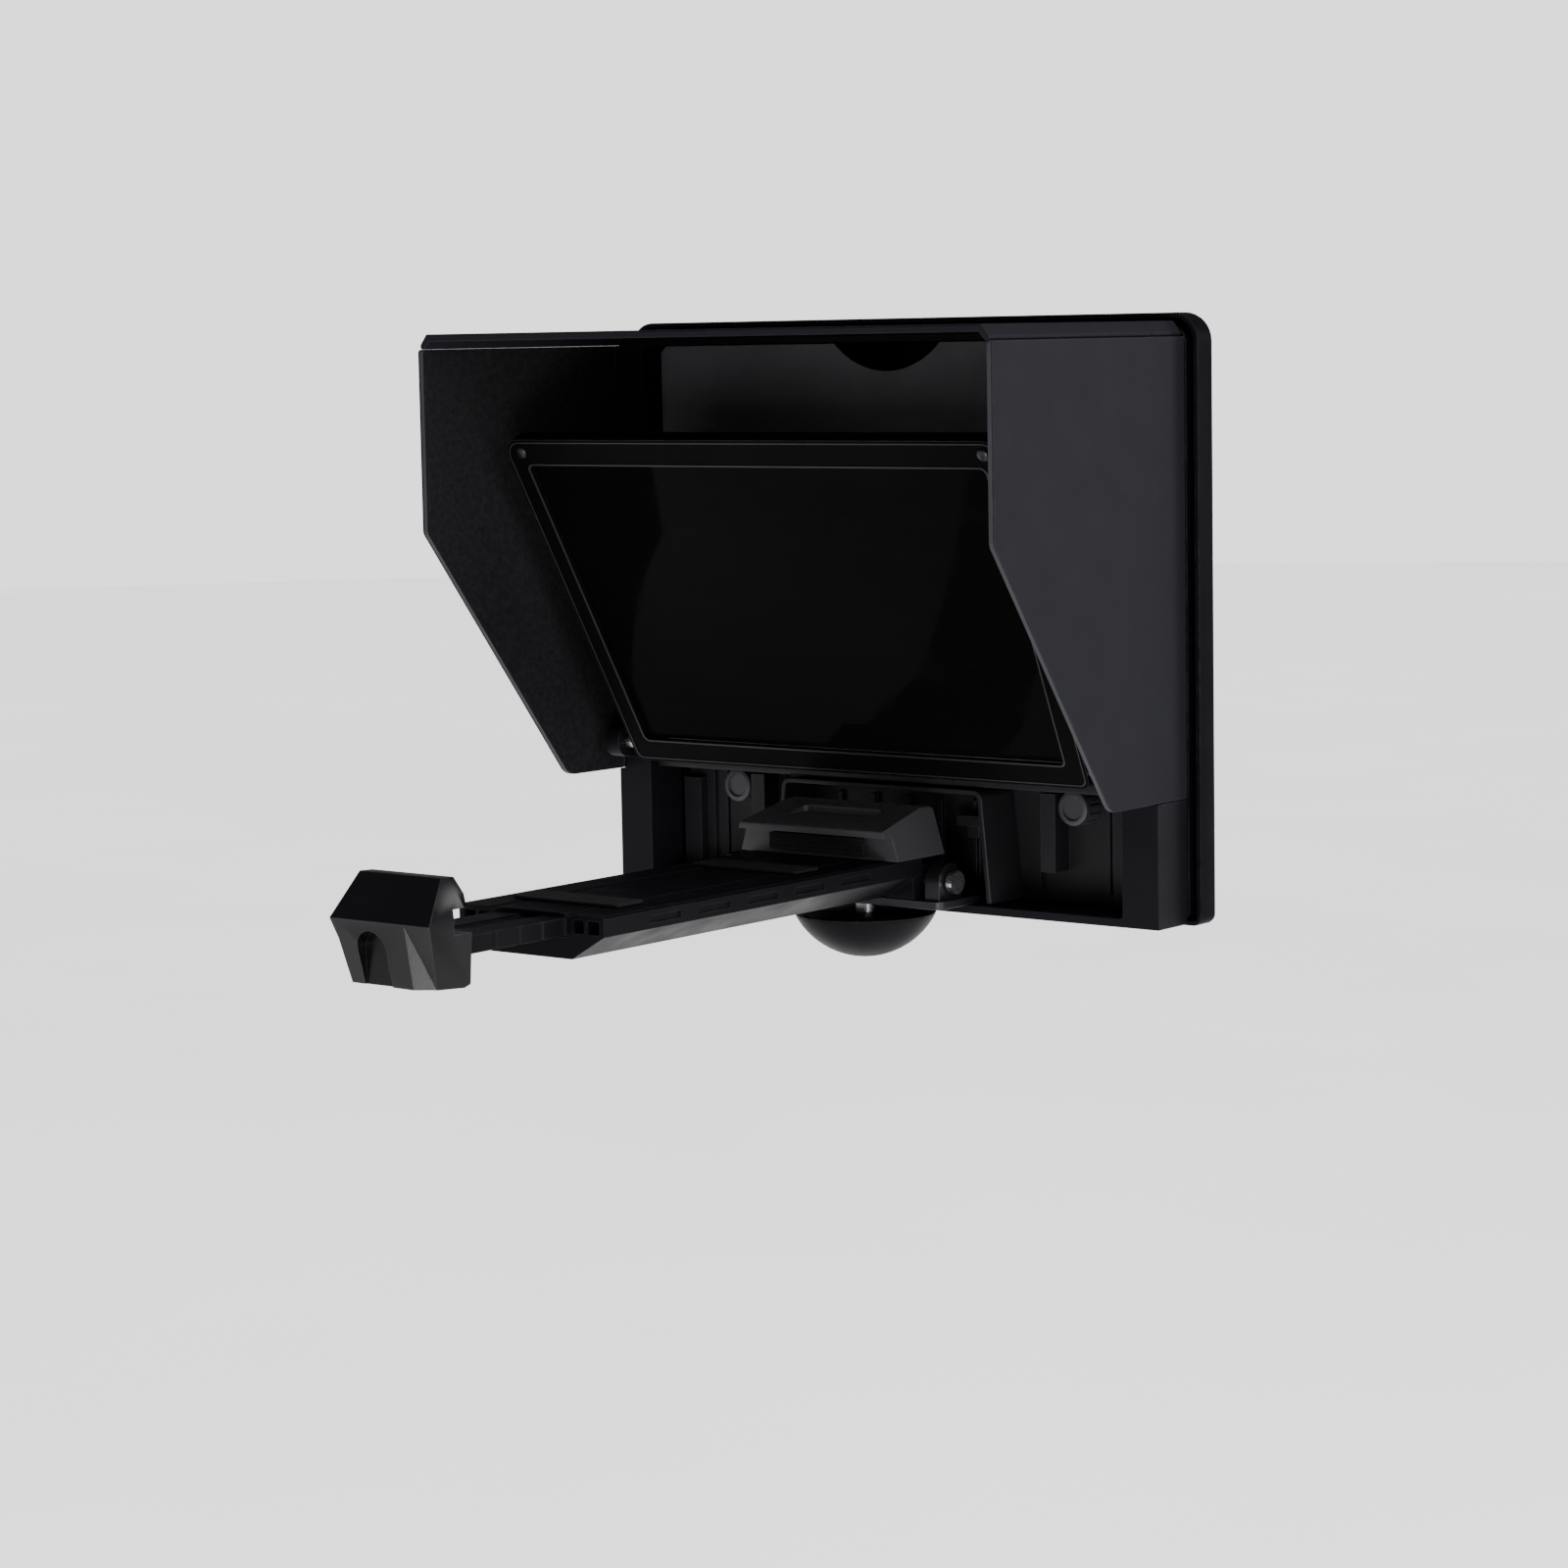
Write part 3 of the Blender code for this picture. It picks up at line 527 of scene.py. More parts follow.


# The edge factors pale every edge, partly as wear and partly as painted highlight; the large ones on the
# shell, glass rim and jaw paint highlight lines.
SHELL = moulded("shell_plastic_black", (0.0024, 0.0024, 0.0031), 0.46, grain=1700.0, depth=0.012,
                specular=0.010, edge_wear_and_highlight=7.0)
FRAME = moulded("frame_plastic_satin", (0.0040, 0.0038, 0.0052), 0.46, specular=0.05, edge_wear_and_highlight=3.5)
# black plastic made about twenty times paler than the other black parts: painted light on a wall that lies in
# the hood's shade
BAFFLE_PAINTED_LIGHT = moulded("baffle_plastic_matt_painted_light", (0.090, 0.083, 0.093), 0.55, grain=1300.0, depth=0.03,
                 specular=0.3, edge_wear_and_highlight=1.6)
RECESS = moulded("recess_plastic_satin", (0.0062, 0.0059, 0.0070), 0.48, specular=0.16, edge_wear_and_highlight=4.0)
GLASS_RIM = moulded("glass_rim_black", (0.0014, 0.0014, 0.0016), 0.45, depth=0.01, specular=0.012,
                    edge_wear_and_highlight=12.0)
SKIN = moulded("hood_skin_matt", (0.0060, 0.0059, 0.0078), 0.66, grain=2600.0, depth=0.01, mottle=0.04,
               specular=0.055, edge_wear_and_highlight=2.8, rough_spread=0.03)
FLOCK = flocked("hood_flock", (0.0030, 0.0028, 0.0038))
# paler than skin and flock: partly the boards' own cut edges, partly a painted highlight line along the
# hood's front edges
BOARD_EDGE_AND_HIGHLIGHT = moulded("hood_board_edge_and_painted_highlight", (0.018, 0.018, 0.021), 0.62, grain=1200.0, depth=0.04, specular=0.2,
                edge_wear_and_highlight=1.5)
STOP = moulded("stop_plastic_satin", (0.020, 0.0195, 0.022), 0.45, specular=0.3, edge_wear_and_highlight=2.0)
TRAY = moulded("tray_plastic_black", (0.0026, 0.0025, 0.0032), 0.42, depth=0.014, specular=0.03, edge_wear_and_highlight=4.5)
JAW = moulded("jaw_plastic_gloss", (0.0016, 0.0016, 0.0020), 0.27, depth=0.012, specular=0.13, edge_wear_and_highlight=10.0)
ANODISED = moulded("anodised_black_metal", (0.016, 0.016, 0.018), 0.36, grain=2200.0, depth=0.006,
                   metallic=0.85)
STEEL = brushed("bright_steel", (0.40, 0.40, 0.42), 0.28, (1.0, 1.0, 8.0))
RUBBER = moulded("black_rubber", (0.007, 0.007, 0.0075), 0.80, grain=900.0, depth=0.05, edge_wear_and_highlight=1.5,
                 specular=0.1)
# paler than the glass rim: painted highlight lines round the glass frame's window and rim
BEAD_PAINTED_HIGHLIGHT = moulded("glass_bead_painted_highlight", (0.009, 0.009, 0.010), 0.45, depth=0.01, specular=0.15, edge_wear_and_highlight=1.5)
GLASS = coated_glass()


# ---------------- camera, floor and light

VIEW_AZIMUTH, VIEW_ELEVATION, VIEW_ROLL = (math.radians(angle) for angle in (38.41, 6.39, -1.04))
VIEW_AIM = (-24.7, -14.2, 38.2)
VIEW_DISTANCE = 1242.4
VIEW_LENS = 92.03


def add_camera():
    data = bpy.data.cameras.new("camera")
    data.lens = VIEW_LENS
    data.sensor_width = 36.0
    data.clip_start = 0.05
    data.clip_end = 100.0
    camera = new_object("camera", data)
    back = Vector((math.sin(VIEW_AZIMUTH) * math.cos(VIEW_ELEVATION),
                   -math.cos(VIEW_AZIMUTH) * math.cos(VIEW_ELEVATION), math.sin(VIEW_ELEVATION)))
    camera.rotation_mode = "QUATERNION"
    camera.rotation_quaternion = (back.to_track_quat("Z", "Y").to_matrix()
                                  @ Matrix.Rotation(VIEW_ROLL, 3, "Z")).to_quaternion()
    camera.location = at(*VIEW_AIM) + back * VIEW_DISTANCE * MM
    bpy.context.scene.camera = camera


def add_floor():
    """A wide pale floor well below the object, which hangs on a lens."""
    floor_z, ring_radii, sides = -420.0, (900.0, 2500.0, 9000.0), 64
    last_angle = 360 - 360 / sides
    shape = bmesh.new()
    circles = [[shape.verts.new(at(u, v, floor_z)) for u, v in arc(0, 0, radius, 0, last_angle, sides - 1)]
               for radius in ring_radii]
    shape.faces.new(circles[0])
    for inner, outer in zip(circles, circles[1:]):
        for i in range(sides):
            j = (i + 1) % sides
            shape.faces.new((inner[i], inner[j], outer[j], outer[i]))
    floor = from_bmesh("studio_floor", shape)
    floor.data.materials.append(studio_floor())


def add_light_object(name, data, place, aim, in_reflections=True):
    light = new_object(name, data)
    light.location = place
    light.rotation_euler = (place - aim).to_track_quat("Z", "Y").to_euler()
    light.visible_camera = False
    light.visible_glossy = in_reflections


def add_softbox(name, place, aim, size, energy, in_reflections=True, spread=180.0):
    data = bpy.data.lights.new(name, "AREA")
    data.shape = "RECTANGLE"
    data.size, data.size_y = (side * MM for side in size)
    data.energy = energy
    data.spread = math.radians(spread)
    add_light_object(name, data, at(*place), at(*aim), in_reflections)


def add_sun(energy, spread):
    """Broad light from above, which keeps the floor evenly pale out to the horizon."""
    data = bpy.data.lights.new("overhead", "SUN")
    data.energy = energy
    data.angle = math.radians(spread)
    above = at(150.0, 150.0, 1000.0)
    add_light_object("overhead", data, above, at(0.0, 0.0, 0.0), in_reflections=False)


def add_world():
    """Pale surroundings, dimmer for the light and reflections they give than to look at."""
    world = bpy.data.worlds.new("studio")
    world.use_nodes = True
    bpy.context.scene.world = world
    tree = world.node_tree
    background = tree.nodes["Background"]
    path = add(tree, "ShaderNodeLightPath")
    as_light, as_seen = 0.16, 1.9
    seen = ranged(tree, path.outputs["Is Camera Ray"], 0.0, 1.0, as_light, as_seen)
    background.inputs["Color"].default_value = (1.0, 1.0, 1.0, 1.0)
    tree.links.new(seen, background.inputs["Strength"])


def add_light():
    middle = (0.0, -60.0, 90.0)
    jaw = (12.0, -215.0, 13.0)
    add_sun(6.6, 50.0)
    add_softbox("key_right", (1050.0, -330.0, 380.0), middle, (700.0, 900.0), 17.0)
    add_softbox("fill_left", (-900.0, -900.0, 420.0), middle, (800.0, 800.0), 4.5,
                in_reflections=False)
    add_softbox("low_kicker", (470.0, -790.0, -290.0), jaw, (280.0, 280.0), 1.9, spread=90.0)
    add_softbox("rim_right", (885.0, 955.0, 400.0), jaw, (420.0, 420.0), 9.0)


# ---------------- housing

def rear_shell():
    """Back cover: a thin lip around a groove in front, rounded back edges, a sunk field behind."""
    front, back = SHELL_LOW.y, SHELL_HIGH.y
    wall, lip, groove_depth = 2.6, 1.2, 4.5
    corner_r, lens_hole_r = (3.0, 8.5), 41.5

    def ring(inset):
        return rounded(SHELL_LOW.x + inset, SHELL_LOW.z + inset, SHELL_HIGH.x - inset,
                       SHELL_HIGH.z - inset, corner_r[0] - inset, corner_r[1] - inset)

    shell = lofted("rear_cover", [(front, ring(0.3)), (front + 0.3, ring(0.0)), (back - 2.2, ring(0.0)),
                                  (back - 1.1, ring(0.3)), (back - 0.35, ring(1.0)), (back, ring(2.2))])
    pocket = sheet("pocket", [rounded(-103.4, 2.6, 103.4, 176.6, 1.5, 4.0, 4)], "Y", front - 2, back - wall)
    groove = sheet("groove", [ring(lip), rounded(-104.2, 2.1, 104.2, 177.4, 2.0, 5.0)], "Y",
                   front - 2, front + groove_depth)
    hole = rod("lens_hole", lens_hole_r, (0, 10, LENS_Z), (0, 40, LENS_Z), 96)
    pad_r, tab_x = 54.0, 10.8
    tab_angle = math.degrees(math.asin(tab_x / pad_r))
    pad = arc(0, LENS_Z, pad_r, 90 + tab_angle, 450 - tab_angle, 72) + [(tab_x, 165.0), (-tab_x, 165.0)]
    field = sheet("field", [rounded(-88.0, 6.0, 88.0, 172.0, 4.0, 4.0), pad], "Y", back - 0.6, back + 2)
    cut(shell, pocket, groove, hole, field)
    fit(shell, SHELL, "housing", "shell_plastic", "rear_shell", edge=0.22)


def front_frame():
    rebate = WALL_X - HOOD_T - GAP
    half = [(98.6, FRONT_TOP), (rebate, 172.5), (rebate, PANEL_FOOT_Z - GAP),
            (WALL_X, PANEL_FOOT_Z - GAP), (WALL_X, 0.4)]
    opening = rounded(-INNER_X, 3.0, INNER_X, 173.9, 1.0, 2.0, 4)
    shell = sheet("front_surround", [mirrored(half), opening], "Y", 0.0, FRONT_DEPTH)
    cut(shell, rod("bush_opening", 5.5, (-55, 8, -2), (-55, 8, 3.2), 32))
    fit(shell, FRAME, "housing", "frame_plastic", "front_frame", edge=0.55, segments=3)


def baffle():
    """Dark wall behind the glass, with a finger notch and a raised rim round the lens window."""
    low, high = span("baffle_panel")
    notch_r, notch_depth, nip = 28.0, 8.6, 2.2
    half_angle = math.degrees(math.acos((notch_r - notch_depth) / notch_r))
    notch = arc(0, high.z + notch_r - notch_depth, notch_r, 270 + half_angle, 270 - half_angle, 24)
    outline = ([(high.x, low.z), (high.x, high.z - nip), (high.x - nip, high.z)] + notch
               + [(low.x + nip, high.z), (low.x, high.z - nip), (low.x, low.z)])
    window = rounded(-62.0, 61.0, 62.0, 141.0, 8.0, 8.0)
    wall = sheet("baffle_wall", [outline, window], "Y", low.y, high.y)
    # the wall's and its rim's pale colour is painted light
    fit(wall, BAFFLE_PAINTED_LIGHT, "housing", "frame_plastic", "baffle_panel", edge=0.3)
    rim_outer = rounded(-65.0, 58.0, 65.0, 144.0, 10.5, 10.5)
    rim_inner = rounded(-62.8, 60.2, 62.8, 141.8, 8.6, 8.6)
    rim = sheet("baffle_window_rim", [rim_outer, rim_inner], "Y", low.y - 1.1, low.y - 0.02)
    fit(rim, BAFFLE_PAINTED_LIGHT, "housing", "frame_plastic", edge=0.25)


def recess():
    """Floor of the recess under the glass: ribs, slots and a ledge."""
    low, high = span("lower_panel")
    floor_t, rib_x, rib_half, edge_rib_x, edge_rib_half = 2.4, 56.2, 2.6, 86.5, 3.4
    slot_spots = ((79.0, 1.0), (49.5, 1.2), (74.2, 0.6))     # middle and half width
    face = high.y - floor_t
    floor = sheet("recess_floor", [rounded(low.x, low.z, high.x, high.z, 0.8, 0.8, 3)], "Y", face, high.y)
    ribs, slots = [], []
    for side in (-1, 1):
        x, edge = side * rib_x, side * edge_rib_x
        ribs.append(block("rib", (x - rib_half, low.y, 13.0), (x + rib_half, face + 0.2, 37.0)))
        ribs.append(block("edge_rib", (edge - edge_rib_half, 16.0, 5.0),
                          (edge + edge_rib_half, face + 0.2, 34.0)))
        for place, half in slot_spots:
            x = side * place
            slots.append(block("slot", (x - half, face - 1, 6.5), (x + half, face + 1.4, 37.0)))
    fuse(floor, *ribs)
    cut(floor, *slots)
    fit(floor, RECESS, "housing", "frame_plastic", "lower_panel", edge=0.3)
    low, high = span("cross_bar")
    profile = fillet([(low.y, low.z), (high.y, low.z), (high.y, high.z), (low.y + 2.2, high.z),
                      (low.y, high.z - 1.4)], [0.5] * 5, 3)
    bar = lofted("cross_rail", [(low.x, profile), (high.x, profile)], "X")
    fit(bar, RECESS, "housing", "frame_plastic", "cross_bar", edge=0)


def cowl():
    """Surround standing over the tray's root, with a ribbed plate and a small T-shaped catch."""
    low, high = span("jaw_cowl")
    top_x, spread, wall = 38.4, 3.4, 1.5

    def hoop(inset, foot):
        return fillet([(top_x + spread - inset, foot), (top_x - inset, high.z - inset),
                       (inset - top_x, high.z - inset), (inset - top_x - spread, foot)],
                      [0, 3.0 - inset, 3.0 - inset, 0], 6)

    shell = sheet("jaw_surround", [hoop(0.0, low.z)], "Y", low.y, high.y)
    cut(shell, sheet("hollow", [hoop(wall, low.z - 2)], "Y", low.y - 2, high.y + 2))
    fit(shell, RECESS, "housing", "tray_plastic", "jaw_cowl", edge=0.4, segments=3)
    plate_y = high.y - 1.8
    plate = sheet("surround_back", [hoop(wall + 0.25, 6.2)], "Y", plate_y, high.y - 0.3)
    bars = [block("bar", (x - 0.8, plate_y - 1.6, 8.0), (x + 0.8, plate_y + 0.5, 33.0))
            for x in (-26, -13, 0, 13, 26)]
    fuse(plate, *bars)
    fit(plate, RECESS, "housing", "frame_plastic", edge=0.25)
    stem = block("surround_catch", (26.5, plate_y - 6.0, 22.0), (31.0, plate_y - 0.1, 27.0))
    fuse(stem, block("head", (23.5, plate_y - 7.5, 25.6), (34.0, plate_y - 4.8, 29.0)))
    fit(stem, RECESS, "housing", "tray_plastic", edge=0.35)


def boss(name, node):
    """Round boss with a rimmed, slightly dished end and a notched skirt."""
    low, high = span(node)
    x, _, z = centre_of(node)
    radius, length = (high.x - low.x) / 2, 19.3 - low.y
    profile = [(0.0, length - 0.9), (3.3, length - 0.9), (3.8, length), (radius - 0.9, length),
               (radius - 0.25, length - 0.3), (radius, length - 1.0), (radius, 0.0), (0.0, 0.0)]
    body = turned(name, profile, (x, 19.3, z), "Y", 64, back=True)
    notches = [rod("notch", 0.55, (x + radius * math.cos(a), low.y + 2.0, z + radius * math.sin(a)),
                   (x + radius * math.cos(a), 20.0, z + radius * math.sin(a)), 10)
               for a in (math.radians(15 + 30 * i) for i in range(12))]
    cut(body, *notches)
    fit(body, STOP, "housing", "tray_plastic", node, edge=0.15)


def housing_screw(node):
    """Button-head screw with a hexagonal socket."""
    low, high = span(node)
    x, _, z = centre_of(node)
    head_low, head_r = high.y - 1.6, 3.1
    profile = button_head(head_r, 1.6) + [(1.6, 0.0), (1.6, low.y - head_low), (0.0, low.y - head_low)]
    screw = turned(node + "_head", profile, (x, head_low, z), "Y", 40)
    socket = sheet("socket", [arc(x, z, 1.25, 0, 300, 5)], "Y", high.y - 1.0, high.y + 1.0)
    cut(screw, socket)
    fit(screw, ANODISED, "housing", "black_metal", node, edge=0.12)


def tripod_thread():
    """Quarter-inch bush with visible thread turns, in a block on the bottom wall."""
    low, high = span("tripod_bush")
    x, y, _ = centre_of("tripod_bush")
    outer, crest, root, pitch = (high.x - low.x) / 2, 3.0, 3.45, 1.27
    turns = int((high.z - low.z) / pitch)
    thread = []
    for turn in range(turns):
        thread += [(crest, turn * pitch + 0.5), (root, (turn + 0.5) * pitch + 0.5)]
    profile = [(outer, high.z - low.z), (outer, 0.0), (3.7, 0.0)] + thread + [(3.7, high.z - low.z)]
    insert = turned("tripod_insert", profile, (x, y, low.z), "Z", 48)
    fit(insert, STEEL, "housing", "steel", "tripod_bush", edge=0)
    low, high = span("tripod_block")
    body = sheet("tripod_pad", [rounded(low.x, low.y, high.x, high.y, 2, 2, 5)], "Z", low.z, high.z)
    cut(body, rod("bush_hole", 5.5, (x, y, 0), (x, y, 20), 40))
    fit(body, FRAME, "housing", "frame_plastic", "tripod_block", edge=0.3)


# ---------------- lens interface

def lens_collar():
    """Fixed collar with grip flats round its rim and the release button's housing on top."""
    back = SHELL_HIGH.y
    profile = [(50.4, 7.7), (51.2, 6.9), (51.5, 6.0), (51.5, 1.2), (50.9, 0.3), (42.0, 0.3), (42.0, 2.4),
               (44.4, 2.4), (44.4, 7.6), (44.8, 8.0), (49.9, 8.0)]
    collar = turned("mount_collar", profile, (0, back, LENS_Z), "Y", 120)
    top = span("lens_collar")[1]
    housing = sheet("housing_block", [rounded(-9.0, 148.5, 9.0, top.z, 1.0, 2.5, 6)], "Y", back + GAP, 32.5)
    slice_at(housing, (29.0,))     # a seam through the pocket keeps the top face free of an island
    cut(housing, block("button_pocket", (-5.5, 27.0, LENS_Z + 53.5), (5.5, 31.0, top.z + 2)))
    fuse(collar, housing)
    scallops = []
    for degrees in list(range(115, 245, 8)) + list(range(-64, 66, 8)):
        a = math.radians(degrees)
        u, v = 52.6 * math.cos(a), 52.6 * math.sin(a)
        scallops.append(rod("scallop", 1.7, (u, back + 2.2, LENS_Z + v), (u, 40, LENS_Z + v), 16))
    cut(collar, *scallops)
    fit(collar, SHELL, "housing", "shell_plastic", "lens_collar", edge=0.2)
    dot_profile = [(0, 0.28), (0.7, 0.2), (0.9, 0.0), (0.0, 0.0)]
    dot = turned("collar_index_dot", dot_profile, (0, 33.02, 148.9), "Y", 24)
    fit(dot, STEEL, "housing", "steel", edge=0)


def adapter_ring():
    """Twist ring: knurled rim, stepped face and fine filter thread inside."""
    low, high = span("adapter_ring")
    base, rim = SHELL_HIGH.y, high.y - SHELL_HIGH.y
    thread = []
    count, pitch = 10, 0.75
    for turn in range(count):
        height = 3.4 + turn * pitch
        thread += [(38.5, height), (38.95, height + pitch / 2)]
    profile = ([(45.6, rim), (46.4, rim - 0.5), (47.4, rim - 0.5), (48.0, rim - 1.1), (48.0, 8.4),
                (43.9, 8.4), (43.9, 2.8), (38.9, 2.8)] + thread + [(38.6, rim - 0.7), (39.3, rim)])
    ring = turned("twist_ring", profile, (0, base, LENS_Z), "Y", 144)
    knurls = []
    for i in range(72):
        a = 2 * math.pi * i / 72
        u, v = 48.35 * math.cos(a), 48.35 * math.sin(a)
        knurls.append(rod("knurl", 0.75, (u, base + 9.2, LENS_Z + v), (u, high.y - 1.5, LENS_Z + v), 8))
    cut(ring, *knurls)
    fit(ring, ANODISED, "ring", "black_metal", "adapter_ring", edge=0)


def button_spring():
    """Coil under the button, which shortens as the button goes down."""
    low, high = span("button_spring")
    wire_d, coil_turns, per_turn = 0.4, 3.5, 20
    radius = (high.x - low.x - wire_d) / 2
    x, y, _ = centre_of("button_spring")
    count = int(coil_turns * per_turn)
    points = []
    for i in range(count + 1):
        a = 2 * math.pi * i / per_turn
        height = low.z + wire_d / 2 + (high.z - low.z - wire_d) * i / count
        points.append((x + radius * math.cos(a), y + radius * math.sin(a), height))
    coil = wire("release_spring", points, wire_d)
    fit(coil, STEEL, "housing", "steel", "button_spring", edge=0)
    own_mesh(coil)


def release_button():
    low, high = span("release_button")
    cap = sheet("release_cap", [rounded(low.x, low.y, high.x, high.y, 0.9, 0.9, 5)], "Z", low.z, high.z)
    ridges = [block("ridge", (x - 0.35, low.y - 1, high.z - 0.45), (x + 0.35, high.y + 1, high.z + 1))
              for x in (-3.2, -1.6, 0.0, 1.6, 3.2)]
    cut(cap, *ridges)
    fit(cap, ANODISED, "button", "black_metal", "release_button", edge=0.12)


# ---------------- glass

GLASS_TILT = math.radians(27.6)
GLASS_LENGTH, GLASS_T = 117.0, 5.0
GLASS_TOP_X = span("glass_frame")[1].x
GLASS_FOOT_X = GLASS_TOP_X - 6.6
GLASS_BAR = 7.0                # width of the frame's side bars
WINDOW_LOW, WINDOW_HIGH = 8.0, GLASS_LENGTH - 9.0
GLASS_TOP = Vector((0.0, -64.5, 146.0))
GLASS_FOOT = GLASS_TOP - Vector((0.0, -math.sin(GLASS_TILT), math.cos(GLASS_TILT))) * GLASS_LENGTH


def lean(obj):
    """Leans a piece that was made upright, with its foot at the bench origin, onto the slope."""
    bpy.context.view_layer.update()
    from_foot = Matrix.Translation(-at(0, 0, 0)) @ obj.matrix_world
    obj.matrix_world = Matrix.Translation(at(*GLASS_FOOT)) @ Matrix.Rotation(GLASS_TILT, 4, "X") @ from_foot
    return obj


def glass_outline(inset, low, high, radius_low, radius_high):
    """Outline parallel to the glass frame's sides, which spread towards the top."""
    def half_width(s):
        return GLASS_FOOT_X + (GLASS_TOP_X - GLASS_FOOT_X) * s / GLASS_LENGTH - inset

    corners = [(half_width(low), low), (half_width(high), high), (-half_width(high), high),
               (-half_width(low), low)]
    return fillet(corners, [radius_low, radius_high, radius_high, radius_low], 8)


def window_outline(grow, radius):
    """The glass frame's opening, made larger on every side."""
    return glass_outline(GLASS_BAR - grow, WINDOW_LOW - grow, WINDOW_HIGH + grow, radius, radius)


def bead(name, loops, front, edge):
    """A fine raised line on the front of the glass frame, in a paler colour that paints a highlight line."""
    line = sheet(name, loops, "Y", front, -0.02)
    fit(lean(line), BEAD_PAINTED_HIGHLIGHT, "glass", "frame_plastic", edge=edge)


def glass():
    seat_inset, rivet_x = GLASS_BAR / 2, 87.0
    pin_low_x, pin_high_x = 82, 92
    outer = glass_outline(0.0, 0.0, GLASS_LENGTH, 3.0, 6.0)
    window = window_outline(0.0, 2.0)
    seat = glass_outline(seat_inset, 4.6, GLASS_LENGTH - 5.0, 2.5, 4.0)
    surround = lean(sheet("glass_surround", [outer, window], "Y", 0.0, GLASS_T))
    cut(surround, lean(sheet("seat", [seat], "Y", 1.4, 8.0)))
    for side in (-1, 1):
        start, end = (side * pin_low_x, 3, 5), (side * pin_high_x, 3, 5)
        cut(surround, lean(rod("pin_hole", PIN_HOLE_R, start, end, 32)))
    fit(surround, GLASS_RIM, "glass", "frame_plastic", "glass_frame", edge=0.45, segments=3)
    bead("window_bead", [window_outline(0.55, 2.3), window], -0.3, 0.1)
    bead("rim_bead", [glass_outline(0.9, 0.9, GLASS_LENGTH - 0.9, 2.5, 5.3),
                      glass_outline(1.3, 1.3, GLASS_LENGTH - 1.3, 2.2, 4.9)], -0.2, 0.06)
    pane = lofted("mirror_pane", [
        (depth, glass_outline(seat_inset + 0.4 + inset, 7.65 + inset, GLASS_LENGTH - 5.4 - inset, 2.0, 3.5))
        for depth, inset in ((1.75, 0.3), (2.05, 0.0), (4.45, 0.0), (4.75, 0.3))])
    fit(lean(pane), GLASS, "glass", "glass", "glass_pane", edge=0)
    dome = button_head(2.0, 0.8, 0.3)
    for name, side in (("left", -1), ("right", 1)):
        place = (side * rivet_x, 0.0, GLASS_LENGTH - 4.4)
        rivet = turned(f"glass_rivet_{name}", dome + [(0.0, 0.3)], place, "Y", 32, back=True)
        fit(lean(rivet), ANODISED, "glass", "steel", f"glass_screw_{name}", edge=0)


def hinge_lugs():
    for name in ("left", "right"):
        low, high = span(f"glass_lug_{name}")
        _, y, z = centre_of(f"glass_pin_{name}")
        outline = [(-GAP, z - 6.5), (-GAP, z + 7.5)] + arc(y, z, 5.2, 70, 250, 20)
        lug = sheet(f"pivot_lug_{name}", [outline], "X", low.x, high.x)
        cut(lug, rod("hole", PIN_HOLE_R, (low.x - 1, y, z), (high.x + 1, y, z), 32))
        fit(lug, FRAME, "housing", "frame_plastic", f"glass_lug_{name}", edge=0.4)


# ---------------- hood

FOLD_CUTS = (-2.0, -1.0, -0.7, -0.35, 0.0, 0.35, 0.7, 1.0, 2.0)


def settle(obj):
    """Moves an object's placement into its mesh."""
    bpy.context.view_layer.update()
    obj.data.transform(obj.matrix_world)
    obj.matrix_world = Matrix.Identity(4)


def slice_at(obj, places):
    """Adds cross cuts to a flat piece so that it can bend there."""
    settle(obj)
    shape = bmesh.new()
    shape.from_mesh(obj.data)
    for y in places:
        bmesh.ops.bisect_plane(shape, geom=shape.verts[:] + shape.edges[:] + shape.faces[:],
                               plane_co=at(0, y, 0), plane_no=(0, 1, 0))
    shape.to_mesh(obj.data)
    shape.free()
    return obj


def two_tone(obj, face_material, other_material, toward):
    """One material on the faces that look a given way, another on the rest."""
    dress(obj, [other_material, face_material])
    for polygon in obj.data.polygons:
        polygon.material_index = 1 if polygon.normal.dot(toward) > 0.9 else 0
    return obj


def flare(obj):
    """Spreads a hood piece's sides outwards, more and more towards the front."""
    settle(obj)
    slope = HOOD_FLARE_X / -HOOD_FRONT
    side_x = 0.9 * WALL_X * MM
    for vertex in obj.data.vertices:
        ahead = BENCH.y - vertex.co.y
        if ahead > 0 and abs(vertex.co.x) > side_x:
            vertex.co.x += math.copysign(ahead * slope, vertex.co.x)
    return obj


def hood_skin(obj):
    """An outer skin that runs from a panel on to the housing and bends at the fold."""
    slice_at(obj, FOLD_CUTS)
    flare(obj)
    smooth(obj, 30)
    dress(obj, [SKIN])
    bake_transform(obj)


